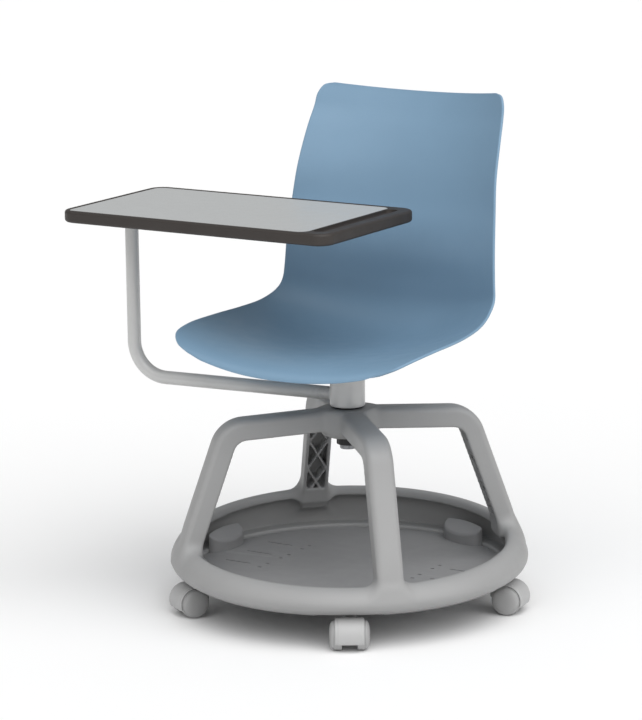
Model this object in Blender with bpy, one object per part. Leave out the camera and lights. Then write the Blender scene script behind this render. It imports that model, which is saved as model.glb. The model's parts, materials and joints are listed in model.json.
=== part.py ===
"""Student desk chair: a swivel shell seat with a swinging writing tablet, on a rolling base with a storage ring.

Frame: metres, +Z up, -Y is the side the sitter faces.  The origin is on the floor, in the middle of
the whole object's bounding box.  All heights below are heights above the floor, and plan positions
are measured from the column's axis, which stands at (COLUMN_X, 0).
"""
from math import atan2, cos, pi, radians, sin, sqrt, tan

import bmesh
import bpy
from mathutils import Vector

# ---------------------------------------------------------------- driving dimensions
GAP = 0.0003                    # between pieces that touch

# ring, legs and hub: one moulding
RING_RADIUS = 0.325             # widest part of the ring
RING_INNER_RADIUS = 0.282
RING_BOTTOM = 0.062
RING_TOP_MEAN = 0.1275          # the ring's top edge rises from front to back of the base
RING_TOP_SWING = 0.0175
BASE_HEADING = radians(-58.6)   # direction that the low side of the ring faces
LEG_ANGLES = [radians(a) for a in (-45, 45, 135, 225)]
LEG_WIDTH = 0.048
LEG_DEPTH = 0.038
LEG_LEAN = radians(19.5)        # of the straight part, from vertical
LEG_BEND_RADIUS = 0.045
LEG_BEND_CENTRE = (0.190, 0.294)
LEG_ARM_SLOPE = radians(2.8)     # of the upper arm, falling outwards
LEG_ARM_START = 0.035
LEG_FOOT_Z = 0.110
HUB_RADIUS = 0.046
HUB_BOTTOM = 0.316
HUB_TOP = 0.366
HUB_CHAMFER = 0.004

# storage tray
TRAY_FLOOR_TOP = 0.068
TRAY_THICKNESS = 0.004
TRAY_FLANGE_RADIUS = 0.292
TRAY_FLANGE_BOTTOM = 0.0577
TRAY_WALL_RADIUS = RING_INNER_RADIUS - 0.0008
POD_WIDTH = 0.100
NOTCH_WIDTH = 0.118             # in the flange, at each caster
POD_DEPTH = 0.024
POD_FRONT_TOP = 0.086
POD_SLOPE = 0.65                # rise of its top towards the ring
SLOT_SIZE = (0.055, 0.004)
SLOT_PITCH = 0.072
SLOT_REACH = 0.196

# column, collar and swivels
SPINDLE_RADIUS = 0.015
SPINDLE_BOTTOM = 0.290
SPINDLE_TOP = 0.438
NUT_RADIUS = 0.021
NUT_BOTTOM = 0.298
WASHER_RADIUS = 0.029           # of the two thrust washers, under and over the collar
SPACER_THICKNESS = 0.0010
SOCKET_RADIUS = 0.024           # of the seat's socket
COLLAR_RADIUS = 0.03175
COLLAR_BOTTOM = 0.3690
COLLAR_TOP = 0.4240
RUNNING = 0.0004                # clearance round the spindle, on the radius

# seat
SHELL_THICKNESS = 0.005
SEAT_PLATE_TOP = 0.4490
SEAT_PLATE_THICKNESS = 0.004
SEAT_PLATE_SIZE = 0.170
SEAT_SCREW_PITCH = 0.130
SEAT_SCREW = (0.0065, 0.0035, 0.0025)       # head radius, head height, shank radius
SEAT_SCREW_REACH = 0.012        # above the plate
BOSS_RADIUS = 0.010             # bosses under the shell, which end inside its thickness
BOSS_TOP_FRONT = 0.4755
BOSS_TOP_REAR = 0.4695
PILOT_TOP = 0.4620

# arm and tablet
TUBE_RADIUS = 0.0125
TUBE_BORE_RADIUS = 0.0103
ARM_HEIGHT = 0.388
ARM_BEND_RADIUS = 0.065
POST_X = -0.437
POST_Y = -0.042
POST_TOP = 0.6960
TABLET_LENGTH = 0.569
TABLET_WIDTH = 0.3175
TABLET_OFFSET_X = -0.2025       # middle of the tablet, from the column's axis
TABLET_TOP = 0.717
TABLET_THICKNESS = 0.022
TABLET_CORNER = 0.030
TABLET_CHAMFER = 0.004
TABLET_BORDER = 0.010
TROUGH_END = 0.050              # border at the sitter's end, which holds the pen trough
TROUGH_WIDTH = 0.024
TROUGH_LENGTH = 0.262
TROUGH_DEPTH = 0.0070
TROUGH_INSET = 0.003            # from the panel's edge to the trough
PANEL_THICKNESS = 0.0030
PANEL_RECESS = 0.0010
PANEL_CORNER = 0.018
UNDERSIDE_TOP = 0.7070          # ceiling of the hollow under the tablet
UNDERSIDE_WALL = 0.014
BRACKET_X = 0.042               # middle of the bracket's plate, from the post's axis
BRACKET_SIZE = (0.116, 0.140)
BRACKET_THICKNESS = 0.004
TABLET_SCREW_PITCH = (0.090, 0.110)
TABLET_SCREW = (0.0040, 0.0024, 0.0018)     # head radius, head height, shank radius
TABLET_SCREW_REACH = 0.0024     # above the bracket
PIN_RADIUS = 0.0080             # pin that stands in the tube's bush
PIN_LENGTH = 0.038
BUSH_LENGTH = 0.040

# casters
CASTER_ANGLES = [radians(a) for a in (-58.6, 18.0, 70.4, 179.0, 224.0)]
CASTER_HEADINGS = [radians(a) for a in (-58.6, 10.0, 70.4, 179.0, 239.0)]     # that the wheels trail to
STEM_CIRCLE = 0.272
CASTER_TRAIL = 0.0265
WHEEL_RADIUS = 0.0265
WHEEL_WIDTH = 0.0220
WHEEL_GAP = 0.0270
HOOD_RADIUS = 0.0305
HOOD_WIDTH = 0.0510
HOOD_THICKNESS = 0.0028
HOOD_LOWER_EDGE = -22.0         # degrees from level, on the side the wheels trail to
STEM_RADIUS = 0.0055
STEM_BOTTOM = 0.030
STEM_TOP = 0.090
STEM_FLANGE_BOTTOM = 0.0562
STEM_CLEARANCE = 0.0005         # in the housing, on the radius
NECK_RADIUS = 0.0110            # of the housing, round the stem
NECK_TOP = 0.0555
AXLE_RADIUS = 0.004

# the column stands off the middle of the bounding box, because the tablet reaches out on one side
COLUMN_X = (TABLET_LENGTH / 2 - TABLET_OFFSET_X - RING_RADIUS) / 2


# ---------------------------------------------------------------- scene and helpers
def clear_scene():
    for item in list(bpy.data.objects):
        bpy.data.objects.remove(item, do_unlink=True)


def material(name, colour, roughness, metallic=0.0):
    made = bpy.data.materials.new(name)
    made.use_nodes = True
    shader = made.node_tree.nodes["Principled BSDF"]
    shader.inputs["Base Color"].default_value = (*colour, 1.0)
    shader.inputs["Roughness"].default_value = roughness
    shader.inputs["Metallic"].default_value = metallic
    made.diffuse_color = (*colour, 1.0)
    return made


def pivot(name, location, parent=None, turn=0.0):
    empty = bpy.data.objects.new(name, None)
    bpy.context.scene.collection.objects.link(empty)
    empty.location = location
    empty.rotation_euler = (0.0, 0.0, turn)
    empty.parent = parent
    return empty


def add_object(name, mesh, parent, finish, location=(0, 0, 0), rotation=(0, 0, 0), smooth=False):
    item = bpy.data.objects.new(name, mesh)
    bpy.context.scene.collection.objects.link(item)
    item.parent = parent
    item.location = location
    item.rotation_euler = rotation
    if finish is not None:
        mesh.materials.clear()
        mesh.materials.append(finish)
    if smooth:
        mesh.shade_smooth()
        mesh.set_sharp_from_angle(angle=radians(35))
    return item


def mesh_from(vertices, faces, name):
    mesh = bpy.data.meshes.new(name)
    mesh.from_pydata([tuple(v) for v in vertices], [], faces)
    work = bmesh.new()
    work.from_mesh(mesh)
    bmesh.ops.recalc_face_normals(work, faces=work.faces)
    work.to_mesh(mesh)
    work.free()
    return mesh


def loft(rings, name, closed_path=False):
    """Skin rings of equally many points, with flat ends unless the path closes on itself."""
    count = len(rings[0])
    vertices = [point for ring in rings for point in ring]
    faces = []
    spans = len(rings) if closed_path else len(rings) - 1
    for i in range(spans):
        here = i * count
        there = ((i + 1) % len(rings)) * count
        for k in range(count):
            following = (k + 1) % count
            faces.append((here + k, here + following, there + following, there + k))
    if not closed_path:
        faces.append(tuple(range(count - 1, -1, -1)))
        faces.append(tuple(range(len(vertices) - count, len(vertices))))
    return mesh_from(vertices, faces, name)


def turned(profile, name, segments=32):
    """Solid of revolution about Z from a closed (radius, height) outline."""
    rings = []
    for k in range(segments):
        angle = 2 * pi * k / segments
        rings.append([(r * cos(angle), r * sin(angle), z) for r, z in profile])
    mesh = loft(rings, name, closed_path=True)
    work = bmesh.new()
    work.from_mesh(mesh)
    bmesh.ops.remove_doubles(work, verts=work.verts, dist=1e-6)
    bmesh.ops.dissolve_degenerate(work, edges=work.edges, dist=1e-6)
    bmesh.ops.recalc_face_normals(work, faces=work.faces)
    work.to_mesh(mesh)
    work.free()
    return mesh


def pipe_profile(outer, inner, low, high, chamfer=0.0008):
    return [(inner, low), (outer - chamfer, low), (outer, low + chamfer), (outer, high - chamfer),
            (outer - chamfer, high), (inner, high)]


def rod_profile(radius, low, high, chamfer=0.0008):
    return pipe_profile(radius, 0.0, low, high, chamfer)


def prism(outline, low, high, name):
    return loft([[(x, y, low) for x, y in outline], [(x, y, high) for x, y in outline]], name)


def rounded_rectangle(length, width, corner, steps=6, centre=(0.0, 0.0)):
    outline = []
    corners = ((1, 1, 0), (-1, 1, 90), (-1, -1, 180), (1, -1, 270))
    for side_x, side_y, start in corners:
        middle_x = centre[0] + side_x * (length / 2 - corner)
        middle_y = centre[1] + side_y * (width / 2 - corner)
        for k in range(steps + 1):
            angle = radians(start + 90 * k / steps)
            outline.append((middle_x + corner * cos(angle), middle_y + corner * sin(angle)))
    return outline


def combine(target, tool_mesh, operation, parent, location=(0, 0, 0), rotation=(0, 0, 0)):
    """Add a live Boolean whose tool is hidden from the finished model."""
    tool = add_object(f"{target.name}_tool_{len(target.modifiers)}", tool_mesh, parent, None, location, rotation)
    tool.hide_render = True
    tool.display_type = "WIRE"
    modifier = target.modifiers.new("boolean", "BOOLEAN")
    modifier.operation = operation
    modifier.solver = "EXACT"
    modifier.object = tool


def smooth_curve(points, steps):
    """Centripetal Catmull-Rom curve through points of any dimension, steps samples per span."""
    knots = [Vector(p) for p in points]
    ends = [2 * knots[0] - knots[1]] + knots + [2 * knots[-1] - knots[-2]]
    result = []
    for i in range(1, len(ends) - 2):
        p0, p1, p2, p3 = ends[i - 1:i + 3]
        t1 = sqrt((p1 - p0).length)
        t2 = t1 + sqrt((p2 - p1).length)
        t3 = t2 + sqrt((p3 - p2).length)
        for k in range(steps):
            t = t1 + (t2 - t1) * k / steps
            a1 = p0 * ((t1 - t) / t1) + p1 * (t / t1)
            a2 = p1 * ((t2 - t) / (t2 - t1)) + p2 * ((t - t1) / (t2 - t1))
            a3 = p2 * ((t3 - t) / (t3 - t2)) + p3 * ((t - t2) / (t3 - t2))
            b1 = a1 * ((t2 - t) / t2) + a2 * (t / t2)
            b2 = a2 * ((t3 - t) / (t3 - t1)) + a3 * ((t - t1) / (t3 - t1))
            result.append(b1 * ((t2 - t) / (t2 - t1)) + b2 * ((t - t1) / (t2 - t1)))
    result.append(knots[-1])
    return result


# ---------------------------------------------------------------- base
def ring_top(angle):
    """Height of the ring's top edge in the given direction: lowest where the base opens."""
    return RING_TOP_MEAN - RING_TOP_SWING * cos(angle - BASE_HEADING)


def ring_section(angle):
    """Outline of the ring's section as (radius, height): full outside, near-vertical inside."""
    height = ring_top(angle) - RING_BOTTOM
    outside = [(0.2965, 0.00), (0.3110, 0.12), (0.3205, 0.26), (RING_RADIUS, 0.45),
               (0.3220, 0.64), (0.3150, 0.82), (0.3060, 0.95), (0.2970, 1.00)]
    inside = [(0.2885, 0.96), (0.2840, 0.82), (RING_INNER_RADIUS, 0.62), (RING_INNER_RADIUS, 0.00)]
    return [(radius, RING_BOTTOM + height * share) for radius, share in outside + inside]


def ring_mesh(segments=48):
    rings = []
    for k in range(segments):
        angle = 2 * pi * k / segments
        rings.append([(r * cos(angle), r * sin(angle), z) for r, z in ring_section(angle)])
    return loft(rings, "ring", closed_path=True)


def leg_path():
    """Middle line of a leg in its own radial plane, as (radius, height, direction angle)."""
    centre_r, centre_z = LEG_BEND_CENTRE
    arm_slope = LEG_ARM_SLOPE
    arm_rise = (centre_r - LEG_ARM_START) * tan(arm_slope)
    path = [(LEG_ARM_START, centre_z + LEG_BEND_RADIUS / cos(arm_slope) + arm_rise, -arm_slope)]
    steps = 6
    last_turn = pi / 2 - LEG_LEAN
    for k in range(steps + 1):
        turn = arm_slope + (last_turn - arm_slope) * k / steps
        path.append((centre_r + LEG_BEND_RADIUS * sin(turn), centre_z + LEG_BEND_RADIUS * cos(turn), -turn))
    last_r, last_z, _ = path[-1]
    path.append((last_r + (last_z - LEG_FOOT_Z) / cos(LEG_LEAN) * sin(LEG_LEAN), LEG_FOOT_Z, -last_turn))
    return path


def leg_mesh():
    """Swept leg with a crowned outer face, in the XZ plane."""
    half = LEG_WIDTH / 2
    deep = LEG_DEPTH / 2
    section = [(-half, -deep), (half, -deep), (half, deep * 0.45), (half * 0.72, deep * 0.90),
               (0.0, deep), (-half * 0.72, deep * 0.90), (-half, deep * 0.45)]
    rings = []
    for radius, height, direction in leg_path():
        out = Vector((-sin(direction), 0.0, cos(direction)))
        middle = Vector((radius, 0.0, height))
        rings.append([middle + Vector((0.0, side, 0.0)) + out * lift for side, lift in section])
    return loft(rings, "leg")


def make_base(root, finish):
    hub = turned(pipe_profile(HUB_RADIUS, SPINDLE_RADIUS + GAP, HUB_BOTTOM, HUB_TOP, HUB_CHAMFER), "hub")
    frame = add_object("base_frame", ring_mesh(), root, finish, smooth=True)
    for angle in LEG_ANGLES:
        combine(frame, leg_mesh(), "UNION", root, rotation=(0, 0, angle))
    combine(frame, hub, "UNION", root)
    bore = turned(rod_profile(SPINDLE_RADIUS + GAP, HUB_BOTTOM - 0.03, HUB_TOP + 0.03), "hub_bore")
    combine(frame, bore, "DIFFERENCE", root)
    return frame


def pod_outline():
    """Plan of a caster pod: its back follows the ring's inner wall, its front is half an ellipse."""
    wall = RING_INNER_RADIUS - 0.0010
    half_angle = POD_WIDTH / 2 / wall
    back = [(wall * cos(half_angle * k / 4), wall * sin(half_angle * k / 4)) for k in range(-4, 5)]
    centre_x = wall * cos(half_angle)
    front = []
    for k in range(1, 8):
        angle = pi * k / 8
        front.append((centre_x - POD_DEPTH * sin(angle) ** 0.8, POD_WIDTH / 2 * cos(angle)))
    return back + front


def pod_mesh():
    """Pod whose flat top slopes up towards the ring."""
    outline = pod_outline()
    front = min(x for x, _ in outline)
    bottom = [(x, y, TRAY_FLANGE_BOTTOM) for x, y in outline]
    top = [(x, y, POD_FRONT_TOP + POD_SLOPE * (x - front)) for x, y in outline]
    return loft([bottom, top], "pod")


def make_tray(root, finish):
    floor_low = TRAY_FLOOR_TOP - TRAY_THICKNESS
    wall = TRAY_WALL_RADIUS
    step = wall - 0.020
    flange_top = RING_BOTTOM - GAP
    profile = [(0.0, floor_low), (step, floor_low), (step, TRAY_FLANGE_BOTTOM),
               (TRAY_FLANGE_RADIUS, TRAY_FLANGE_BOTTOM), (TRAY_FLANGE_RADIUS, flange_top),
               (wall, flange_top), (wall, TRAY_FLOOR_TOP), (0.0, TRAY_FLOOR_TOP)]
    tray = add_object("storage_tray", turned(profile, "tray", 48), root, finish, smooth=True)
    socket_bore = turned(rod_profile(STEM_RADIUS + GAP, TRAY_FLANGE_BOTTOM - 0.008, STEM_TOP + 0.0008),
                         "socket_bore", 12)
    notch_start = wall + 0.0004
    notch_length = TRAY_FLANGE_RADIUS + 0.010 - notch_start
    notch_outline = rounded_rectangle(notch_length, NOTCH_WIDTH, 0.003, 2, (notch_start + notch_length / 2, 0.0))
    notch = prism(notch_outline, TRAY_FLANGE_BOTTOM - 0.008, RING_BOTTOM, "notch")
    for angle in CASTER_ANGLES:
        combine(tray, pod_mesh(), "UNION", root, rotation=(0, 0, angle))
        place = (STEM_CIRCLE * cos(angle), STEM_CIRCLE * sin(angle), 0.0)
        combine(tray, socket_bore, "DIFFERENCE", root, location=place)
        combine(tray, notch, "DIFFERENCE", root, rotation=(0, 0, angle))
    slot = prism(rounded_rectangle(*SLOT_SIZE, 0.0019, 2), floor_low - 0.004, TRAY_FLOOR_TOP + 0.004, "slot")
    for offset in (-SLOT_PITCH, 0.0, SLOT_PITCH):
        for side in (-1, 1):
            combine(tray, slot, "DIFFERENCE", root, location=(side * SLOT_REACH, offset, 0.0))
    return tray


def make_column(root, steel, black):
    add_object("spindle", turned(rod_profile(SPINDLE_RADIUS, SPINDLE_BOTTOM, SPINDLE_TOP), "spindle", 24),
               root, steel, smooth=True)
    nut = turned(pipe_profile(NUT_RADIUS, SPINDLE_RADIUS + GAP, NUT_BOTTOM, HUB_BOTTOM - GAP, 0.0015), "nut", 24)
    add_object("spindle_nut", nut, root, black, smooth=True)
    washer = turned(pipe_profile(WASHER_RADIUS, SPINDLE_RADIUS + GAP, HUB_TOP + GAP, COLLAR_BOTTOM - GAP),
                    "washer", 24)
    add_object("hub_washer", washer, root, black, smooth=True)


# ---------------------------------------------------------------- seat
def shell_stations():
    """From front lip to top edge: centre (y, z), half width, then how far forward and up the edge is."""
    return [
        (-0.2290, 0.4560, 0.168, 0.008, 0.018),
        (-0.2270, 0.4640, 0.200, 0.010, 0.022),
        (-0.2180, 0.4715, 0.228, 0.012, 0.028),
        (-0.1950, 0.4780, 0.248, 0.014, 0.034),
        (-0.1450, 0.4800, 0.257, 0.014, 0.039),
        (-0.0600, 0.4755, 0.256, 0.010, 0.046),
        (0.0300, 0.4690, 0.246, -0.004, 0.055),
        (0.1100, 0.4690, 0.235, -0.028, 0.061),
        (0.1700, 0.4850, 0.227, -0.050, 0.058),
        (0.2020, 0.5180, 0.224, -0.064, 0.042),
        (0.2090, 0.5600, 0.2215, -0.067, 0.028),
        (0.2065, 0.6200, 0.2190, -0.060, 0.018),
        (0.2115, 0.6900, 0.2145, -0.054, 0.012),
        (0.2265, 0.7600, 0.2090, -0.055, 0.010),
        (0.2520, 0.8300, 0.2030, -0.053, 0.010),
        (0.2675, 0.8650, 0.1985, -0.051, 0.011),
        (0.2760, 0.8860, 0.1955, -0.052, 0.012),
        (0.2810, 0.8985, 0.1870, -0.048, 0.014),
        (0.2835, 0.9055, 0.1700, -0.040, 0.011),
    ]


def shell_rows(steps=1):
    return [tuple(row) for row in smooth_curve(shell_stations(), steps)]


def shell_point(row, across):
    """Point on the sitting face, across from -1 to 1."""
    y, z, half, forward, rise = row
    bend = abs(across) ** 2.2
    return Vector((half * across, y + forward * bend, z + rise * bend))


def shell_mesh(columns=12):
    vertices = []
    faces = []
    rows = shell_rows()
    for row in rows:
        for k in range(columns + 1):
            vertices.append(shell_point(row, 2 * k / columns - 1))
    wide = columns + 1
    for i in range(len(rows) - 1):
        for k in range(columns):
            here = i * wide + k
            faces.append((here, here + 1, here + wide + 1, here + wide))
    mesh = bpy.data.meshes.new("shell")
    mesh.from_pydata([tuple(v) for v in vertices], [], faces)
    return mesh


def screw_places(pitch_x, pitch_y):
    return [(x * pitch_x / 2, y * pitch_y / 2) for x in (-1, 1) for y in (-1, 1)]


def screw_mesh(head_radius, head_height, shank_radius, shank_length, name):
    """Screw pointing up, with its head's bearing face at height 0."""
    profile = [(0.0, -head_height), (head_radius * 0.8, -head_height), (head_radius, -head_height * 0.5),
               (head_radius, 0.0), (shank_radius, 0.0), (shank_radius, shank_length), (0.0, shank_length)]
    return turned(profile, name, 12)


def make_seat(root, blue, steel, grey):
    column = pivot("seat_pivot", (0, 0, 0), root)
    shell = add_object("seat_shell", shell_mesh(), column, blue, smooth=True)
    thick = shell.modifiers.new("thickness", "SOLIDIFY")
    thick.thickness = SHELL_THICKNESS
    thick.offset = -1.0
    thick.use_even_offset = True
    plate_low = SEAT_PLATE_TOP - SEAT_PLATE_THICKNESS
    outline = rounded_rectangle(SEAT_PLATE_SIZE, SEAT_PLATE_SIZE, 0.02, 4)
    plate = add_object("seat_plate", prism(outline, plate_low, SEAT_PLATE_TOP, "plate"), column, steel)
    hole = turned(rod_profile(0.0033, plate_low - 0.01, SEAT_PLATE_TOP + 0.01), "screw_hole", 12)
    pilot = turned(rod_profile(0.0028, SEAT_PLATE_TOP - 0.01, PILOT_TOP), "pilot", 12)
    screw = screw_mesh(*SEAT_SCREW, SEAT_PLATE_THICKNESS + SEAT_SCREW_REACH, "seat_screw")
    for number, (x, y) in enumerate(screw_places(SEAT_SCREW_PITCH, SEAT_SCREW_PITCH), start=1):
        combine(plate, hole, "DIFFERENCE", column, location=(x, y, 0))
        boss_top = BOSS_TOP_FRONT if y < 0 else BOSS_TOP_REAR
        boss = turned(rod_profile(BOSS_RADIUS, SEAT_PLATE_TOP + GAP, boss_top), "boss", 16)
        combine(shell, boss, "UNION", column, location=(x, y, 0))
        combine(shell, pilot, "DIFFERENCE", column, location=(x, y, 0))
        add_object(f"seat_screw_{number}", screw, column, steel, location=(x, y, plate_low - GAP), smooth=True)
    bore = SPINDLE_RADIUS + RUNNING
    socket_low = COLLAR_TOP + SPACER_THICKNESS + 2 * GAP
    socket = turned(pipe_profile(SOCKET_RADIUS, bore, socket_low, plate_low - GAP), "socket", 24)
    add_object("seat_socket", socket, column, grey, smooth=True)
    return column


# ---------------------------------------------------------------- arm and tablet
def arm_rings(radius, start, end_height, segments=16):
    """Rings along the arm: out from the column towards the post, round the bend and up."""
    span = sqrt(POST_X ** 2 + POST_Y ** 2)
    places = [(start, ARM_HEIGHT, 0.0)]
    steps = 8
    for k in range(steps + 1):
        turn = pi / 2 * k / steps
        places.append((span - ARM_BEND_RADIUS * (1 - sin(turn)),
                       ARM_HEIGHT + ARM_BEND_RADIUS * (1 - cos(turn)), turn))
    places.append((span, end_height, pi / 2))
    rings = []
    for reach, height, turn in places:
        up = Vector((-sin(turn), 0.0, cos(turn)))
        middle = Vector((reach, 0.0, height))
        ring = []
        for k in range(segments):
            angle = 2 * pi * k / segments
            ring.append(middle + up * radius * cos(angle) + Vector((0.0, radius * sin(angle), 0.0)))
        rings.append(ring)
    return rings


def make_arm(seat, finish, black):
    arm = pivot("arm_pivot", (0, 0, 0), seat)
    heading = atan2(POST_Y, POST_X)
    collar = turned(pipe_profile(COLLAR_RADIUS, SPINDLE_RADIUS + RUNNING, COLLAR_BOTTOM, COLLAR_TOP), "collar", 32)
    add_object("arm_collar", collar, arm, finish, smooth=True)
    tube_mesh = loft(arm_rings(TUBE_RADIUS, COLLAR_RADIUS - 0.006, POST_TOP), "arm_tube")
    tube = add_object("arm_tube", tube_mesh, arm, finish, rotation=(0, 0, heading), smooth=True)
    bore = loft(arm_rings(TUBE_BORE_RADIUS, COLLAR_RADIUS - 0.010, POST_TOP + 0.010), "arm_bore")
    combine(tube, bore, "DIFFERENCE", arm, rotation=(0, 0, heading))
    cope = turned(rod_profile(COLLAR_RADIUS + GAP, ARM_HEIGHT - 0.03, ARM_HEIGHT + 0.03), "cope", 32)
    combine(tube, cope, "DIFFERENCE", arm)
    spacer_low = COLLAR_TOP + GAP
    spacer = turned(pipe_profile(WASHER_RADIUS, SPINDLE_RADIUS + RUNNING, spacer_low,
                                 spacer_low + SPACER_THICKNESS, 0.0002), "spacer", 24)
    add_object("swivel_spacer", spacer, arm, black, smooth=True)
    bush = turned(pipe_profile(TUBE_BORE_RADIUS - GAP, PIN_RADIUS + RUNNING, POST_TOP - BUSH_LENGTH,
                               POST_TOP - 0.001), "bush", 16)
    add_object("post_bushing", bush, arm, black, location=(POST_X, POST_Y, 0), smooth=True)
    return arm


def make_tablet(arm, dark, pale, steel):
    post = pivot("tablet_pivot", (POST_X, POST_Y, 0), arm)
    middle_x = TABLET_OFFSET_X - POST_X
    low = TABLET_TOP - TABLET_THICKNESS
    panel_length = TABLET_LENGTH - TABLET_BORDER - TROUGH_END
    panel_width = TABLET_WIDTH - 2 * TABLET_BORDER
    panel_x = middle_x - (TROUGH_END - TABLET_BORDER) / 2
    body = []
    outer_edge = ((0.0, TABLET_CHAMFER), (TABLET_CHAMFER, 0.0),
                  (TABLET_THICKNESS - TABLET_CHAMFER, 0.0), (TABLET_THICKNESS, TABLET_CHAMFER))
    for height, inset in outer_edge:
        outline = rounded_rectangle(TABLET_LENGTH - 2 * inset, TABLET_WIDTH - 2 * inset,
                                    TABLET_CORNER - inset, 6, (middle_x, 0.0))
        body.append([(x, y, low + height) for x, y in outline])
    rim = add_object("tablet_rim", loft(body, "rim"), post, dark, smooth=True)
    above = TABLET_TOP + 0.02
    below = low - 0.01
    seat_z = TABLET_TOP - PANEL_RECESS - PANEL_THICKNESS - GAP
    recess_outline = rounded_rectangle(panel_length, panel_width, PANEL_CORNER, 5, (panel_x, 0.0))
    combine(rim, prism(recess_outline, seat_z, above, "recess"), "DIFFERENCE", post)
    trough_x = middle_x + TABLET_LENGTH / 2 - TROUGH_END + TROUGH_INSET + TROUGH_WIDTH / 2
    trough_outline = rounded_rectangle(TROUGH_WIDTH, TROUGH_LENGTH, 0.010, 4, (trough_x, 0.0))
    combine(rim, prism(trough_outline, TABLET_TOP - TROUGH_DEPTH, above, "trough"), "DIFFERENCE", post)
    hollow_outline = rounded_rectangle(TABLET_LENGTH - 2 * UNDERSIDE_WALL, TABLET_WIDTH - 2 * UNDERSIDE_WALL,
                                       PANEL_CORNER, 5, (middle_x, 0.0))
    combine(rim, prism(hollow_outline, below, UNDERSIDE_TOP, "hollow"), "DIFFERENCE", post)
    board = rounded_rectangle(panel_length - 2 * GAP, panel_width - 2 * GAP, PANEL_CORNER - GAP, 5, (panel_x, 0.0))
    add_object("tablet_panel", prism(board, seat_z + GAP, TABLET_TOP - PANEL_RECESS, "panel"), post, pale)
    plate_top = UNDERSIDE_TOP - GAP
    plate_low = plate_top - BRACKET_THICKNESS
    plate_outline = rounded_rectangle(*BRACKET_SIZE, 0.015, 4, (BRACKET_X, 0.0))
    bracket = add_object("tablet_bracket", prism(plate_outline, plate_low, plate_top, "bracket"), post, steel)
    pin = turned(rod_profile(PIN_RADIUS, POST_TOP - PIN_LENGTH, plate_top - 0.001), "pin", 16)
    combine(bracket, pin, "UNION", post)
    thrust = turned(pipe_profile(TUBE_RADIUS, PIN_RADIUS + RUNNING, POST_TOP + GAP, plate_low - GAP, 0.0004),
                    "thrust", 16)
    add_object("post_thrust_ring", thrust, post, dark, smooth=True)
    screw = screw_mesh(*TABLET_SCREW, BRACKET_THICKNESS + TABLET_SCREW_REACH, "tablet_screw")
    hole = turned(rod_profile(0.0022, below, UNDERSIDE_TOP + 0.0035), "tablet_hole", 10)
    for number, (x, y) in enumerate(screw_places(*TABLET_SCREW_PITCH), start=1):
        combine(bracket, hole, "DIFFERENCE", post, location=(x + BRACKET_X, y, 0))
        combine(rim, hole, "DIFFERENCE", post, location=(x + BRACKET_X, y, 0))
        add_object(f"tablet_screw_{number}", screw, post, steel, location=(x + BRACKET_X, y, plate_low - GAP),
                   smooth=True)


# ---------------------------------------------------------------- casters
def arc_outline(outer, inner, first, last, steps=12):
    """Sector between two radii, in degrees from +X; an inner radius of 0 gives a pie slice."""
    turns = [radians(first + (last - first) * k / steps) for k in range(steps + 1)]
    outline = [(outer * cos(t), outer * sin(t)) for t in turns]
    if inner > 0:
        outline += [(inner * cos(t), inner * sin(t)) for t in reversed(turns)]
    return outline


def upright_prism(outline, half_width, name):
    """Prism whose outline lies in the XZ plane."""
    return loft([[(x, side, z) for x, z in outline] for side in (-half_width, half_width)], name)


def hood_mesh():
    """Body between the wheels, in line with the axle."""
    body = arc_outline(HOOD_RADIUS - 0.0005, 0.0, HOOD_LOWER_EDGE, 205.0)
    return upright_prism(body, WHEEL_GAP / 2 - 0.0010, "hood")


def fender_mesh():
    """Curved cover over both wheels, joined to the body between them."""
    cover = arc_outline(HOOD_RADIUS, HOOD_RADIUS - HOOD_THICKNESS, HOOD_LOWER_EDGE, 150.0)
    return upright_prism(cover, HOOD_WIDTH / 2, "fender")


def wheel_mesh():
    """Wheel with a domed outer face, its axis along Z, inner face at height 0."""
    tread = WHEEL_WIDTH * 0.62
    profile = [(AXLE_RADIUS + GAP, 0.0), (WHEEL_RADIUS - 0.0010, 0.0), (WHEEL_RADIUS, 0.0010),
               (WHEEL_RADIUS, tread), (WHEEL_RADIUS - 0.0030, WHEEL_WIDTH * 0.84),
               (WHEEL_RADIUS * 0.62, WHEEL_WIDTH), (AXLE_RADIUS + GAP, WHEEL_WIDTH)]
    return turned(profile, "wheel", 20)


def make_caster(number, angle, heading, root, body_grey, wheel_grey, steel, shared):
    name = f"caster_{number}"
    swivel = pivot(f"{name}_swivel", (STEM_CIRCLE * cos(angle), STEM_CIRCLE * sin(angle), 0), root, heading)
    add_object(f"{name}_stem", shared["stem"], swivel, steel, smooth=True)
    axle_line = pivot(f"{name}_axle_line", (CASTER_TRAIL, 0, WHEEL_RADIUS), swivel)
    housing = add_object(f"{name}_housing", shared["hood"].copy(), axle_line, body_grey, smooth=True)
    combine(housing, shared["fender"], "UNION", axle_line)
    combine(housing, shared["neck"], "UNION", swivel)
    combine(housing, shared["stem_bore"], "DIFFERENCE", swivel)
    combine(housing, shared["axle_bore"], "DIFFERENCE", axle_line, rotation=(pi / 2, 0, 0))
    add_object(f"{name}_axle", shared["axle"], axle_line, steel, rotation=(pi / 2, 0, 0), smooth=True)
    inner = WHEEL_GAP / 2
    add_object(f"{name}_wheel_left", shared["wheel"], axle_line, wheel_grey, location=(0, inner, 0),
               rotation=(-pi / 2, 0, 0), smooth=True)
    add_object(f"{name}_wheel_right", shared["wheel"], axle_line, wheel_grey, location=(0, -inner, 0),
               rotation=(pi / 2, 0, 0), smooth=True)


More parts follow.
